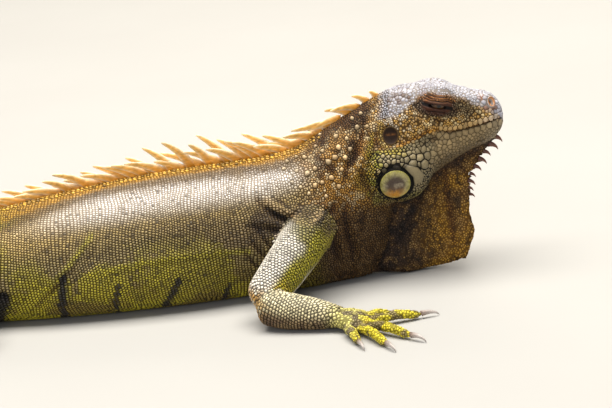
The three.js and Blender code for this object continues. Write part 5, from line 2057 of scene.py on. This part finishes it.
# The drum is thin, dry skin without scales, so it hardly shines.
drum_material = horn("ear_drum_membrane", 0.7, 0.8, 0.2, ior=1.25)
for side, sign in SIDES.items():
    middle, *facing = rim_frame(EAR, EAR_RIM, sign)
    rings = disc_rings(middle, facing, DRUM_HALF_SIZES, DRUM_PROFILE)
    horn_piece(f"drum_{side}", rings, 28, drum_colour, drum_material, [f"eardrum_{side}"])

# %% Nostrils
NOSTRIL_PROFILE = [
    (0.3, -2.0), (0.96, -1.4), (1.0, 0.2), (0.96, 0.6), (0.88, 0.65), (0.76, 0.35), (0.62, -0.1),
    (0.45, -0.6), (0.28, -1.0), (0.14, -1.2), (0.04, -1.3),
]
NOSTRIL_HALF_SIZES = (3.1, 4.0)
NOSTRIL_RIM = 3.4
NOSTRIL_TURN = 0.5
NOSTRIL_LIFT = 0.3


def nostril_colour(ring, x, y):
    """Pale horn round an orange-brown rim, with a tan wall that darkens inward."""
    share = NOSTRIL_PROFILE[ring][0]
    wall = blend_colours("5b2c14", "d0935a", (share - 0.1) * 1.8)
    wall = towards(wall, "7d481c", bump(share - 0.82, 0.1))
    return towards(wall, "c4bfbc", ramp(share, 0.9, 0.97))


# The scale round a nostril is rubbed smooth, so it is glossier than the plates beside it.
nostril_horn = horn("worn_nostril_scale", 0.42, 0.7, 0.2)
for side, sign in SIDES.items():
    middle, out, _, _ = rim_frame(NOSTRIL, NOSTRIL_RIM, sign)
    facing = facing_frame(out + [0, sign * NOSTRIL_TURN, 0])
    rings = disc_rings(middle + facing[0] * NOSTRIL_LIFT, facing, NOSTRIL_HALF_SIZES, NOSTRIL_PROFILE)
    horn_piece(f"nostril_{side}", rings, 20, nostril_colour, nostril_horn)

# %% Eyeballs
EYE_CENTRE = np.array([212.4, 14.2, 119.8])
EYE_RADIUS = 8.0
PUPIL_ANGLE, IRIS_ANGLE = 13, 33
eye_angles = np.pi * (1 - (np.arange(16) + 0.5) / 16)
EYE_PROFILE = [(max(np.sin(angle), 0.02), EYE_RADIUS * np.cos(angle)) for angle in eye_angles]


def eye_colour(ring, x, y):
    """A round black pupil, a gold-brown iris with a dark rim, and a brown white."""
    angle = np.degrees(eye_angles[ring])
    if angle < PUPIL_ANGLE:
        return linear("070605")
    if angle < IRIS_ANGLE:
        return blend_colours("5f3d1c", "2c1a10", (angle - PUPIL_ANGLE) / (IRIS_ANGLE - PUPIL_ANGLE))
    return linear("1c110c")


# A film of tears gives the eyeball its hard clear gloss, and the noise draws the fibres of the iris.
wet = marked_material("wet_eyeball", 0.5, (0.7, 1.3), 0, 0.12, detail=4.0, IOR=1.38, Coat_Weight=0.15,
                      Coat_Roughness=0.05)
for side, sign in SIDES.items():
    facing = facing_frame([0.12, sign * 0.98, -0.1])
    rings = disc_rings(EYE_CENTRE * [1, sign, 1], facing, (EYE_RADIUS, EYE_RADIUS), EYE_PROFILE)
    horn_piece(f"eyeball_{side}", rings, 24, eye_colour, wet, [f"eye_{side}"])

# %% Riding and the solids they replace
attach(skin, "root")
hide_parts(*FLESH)
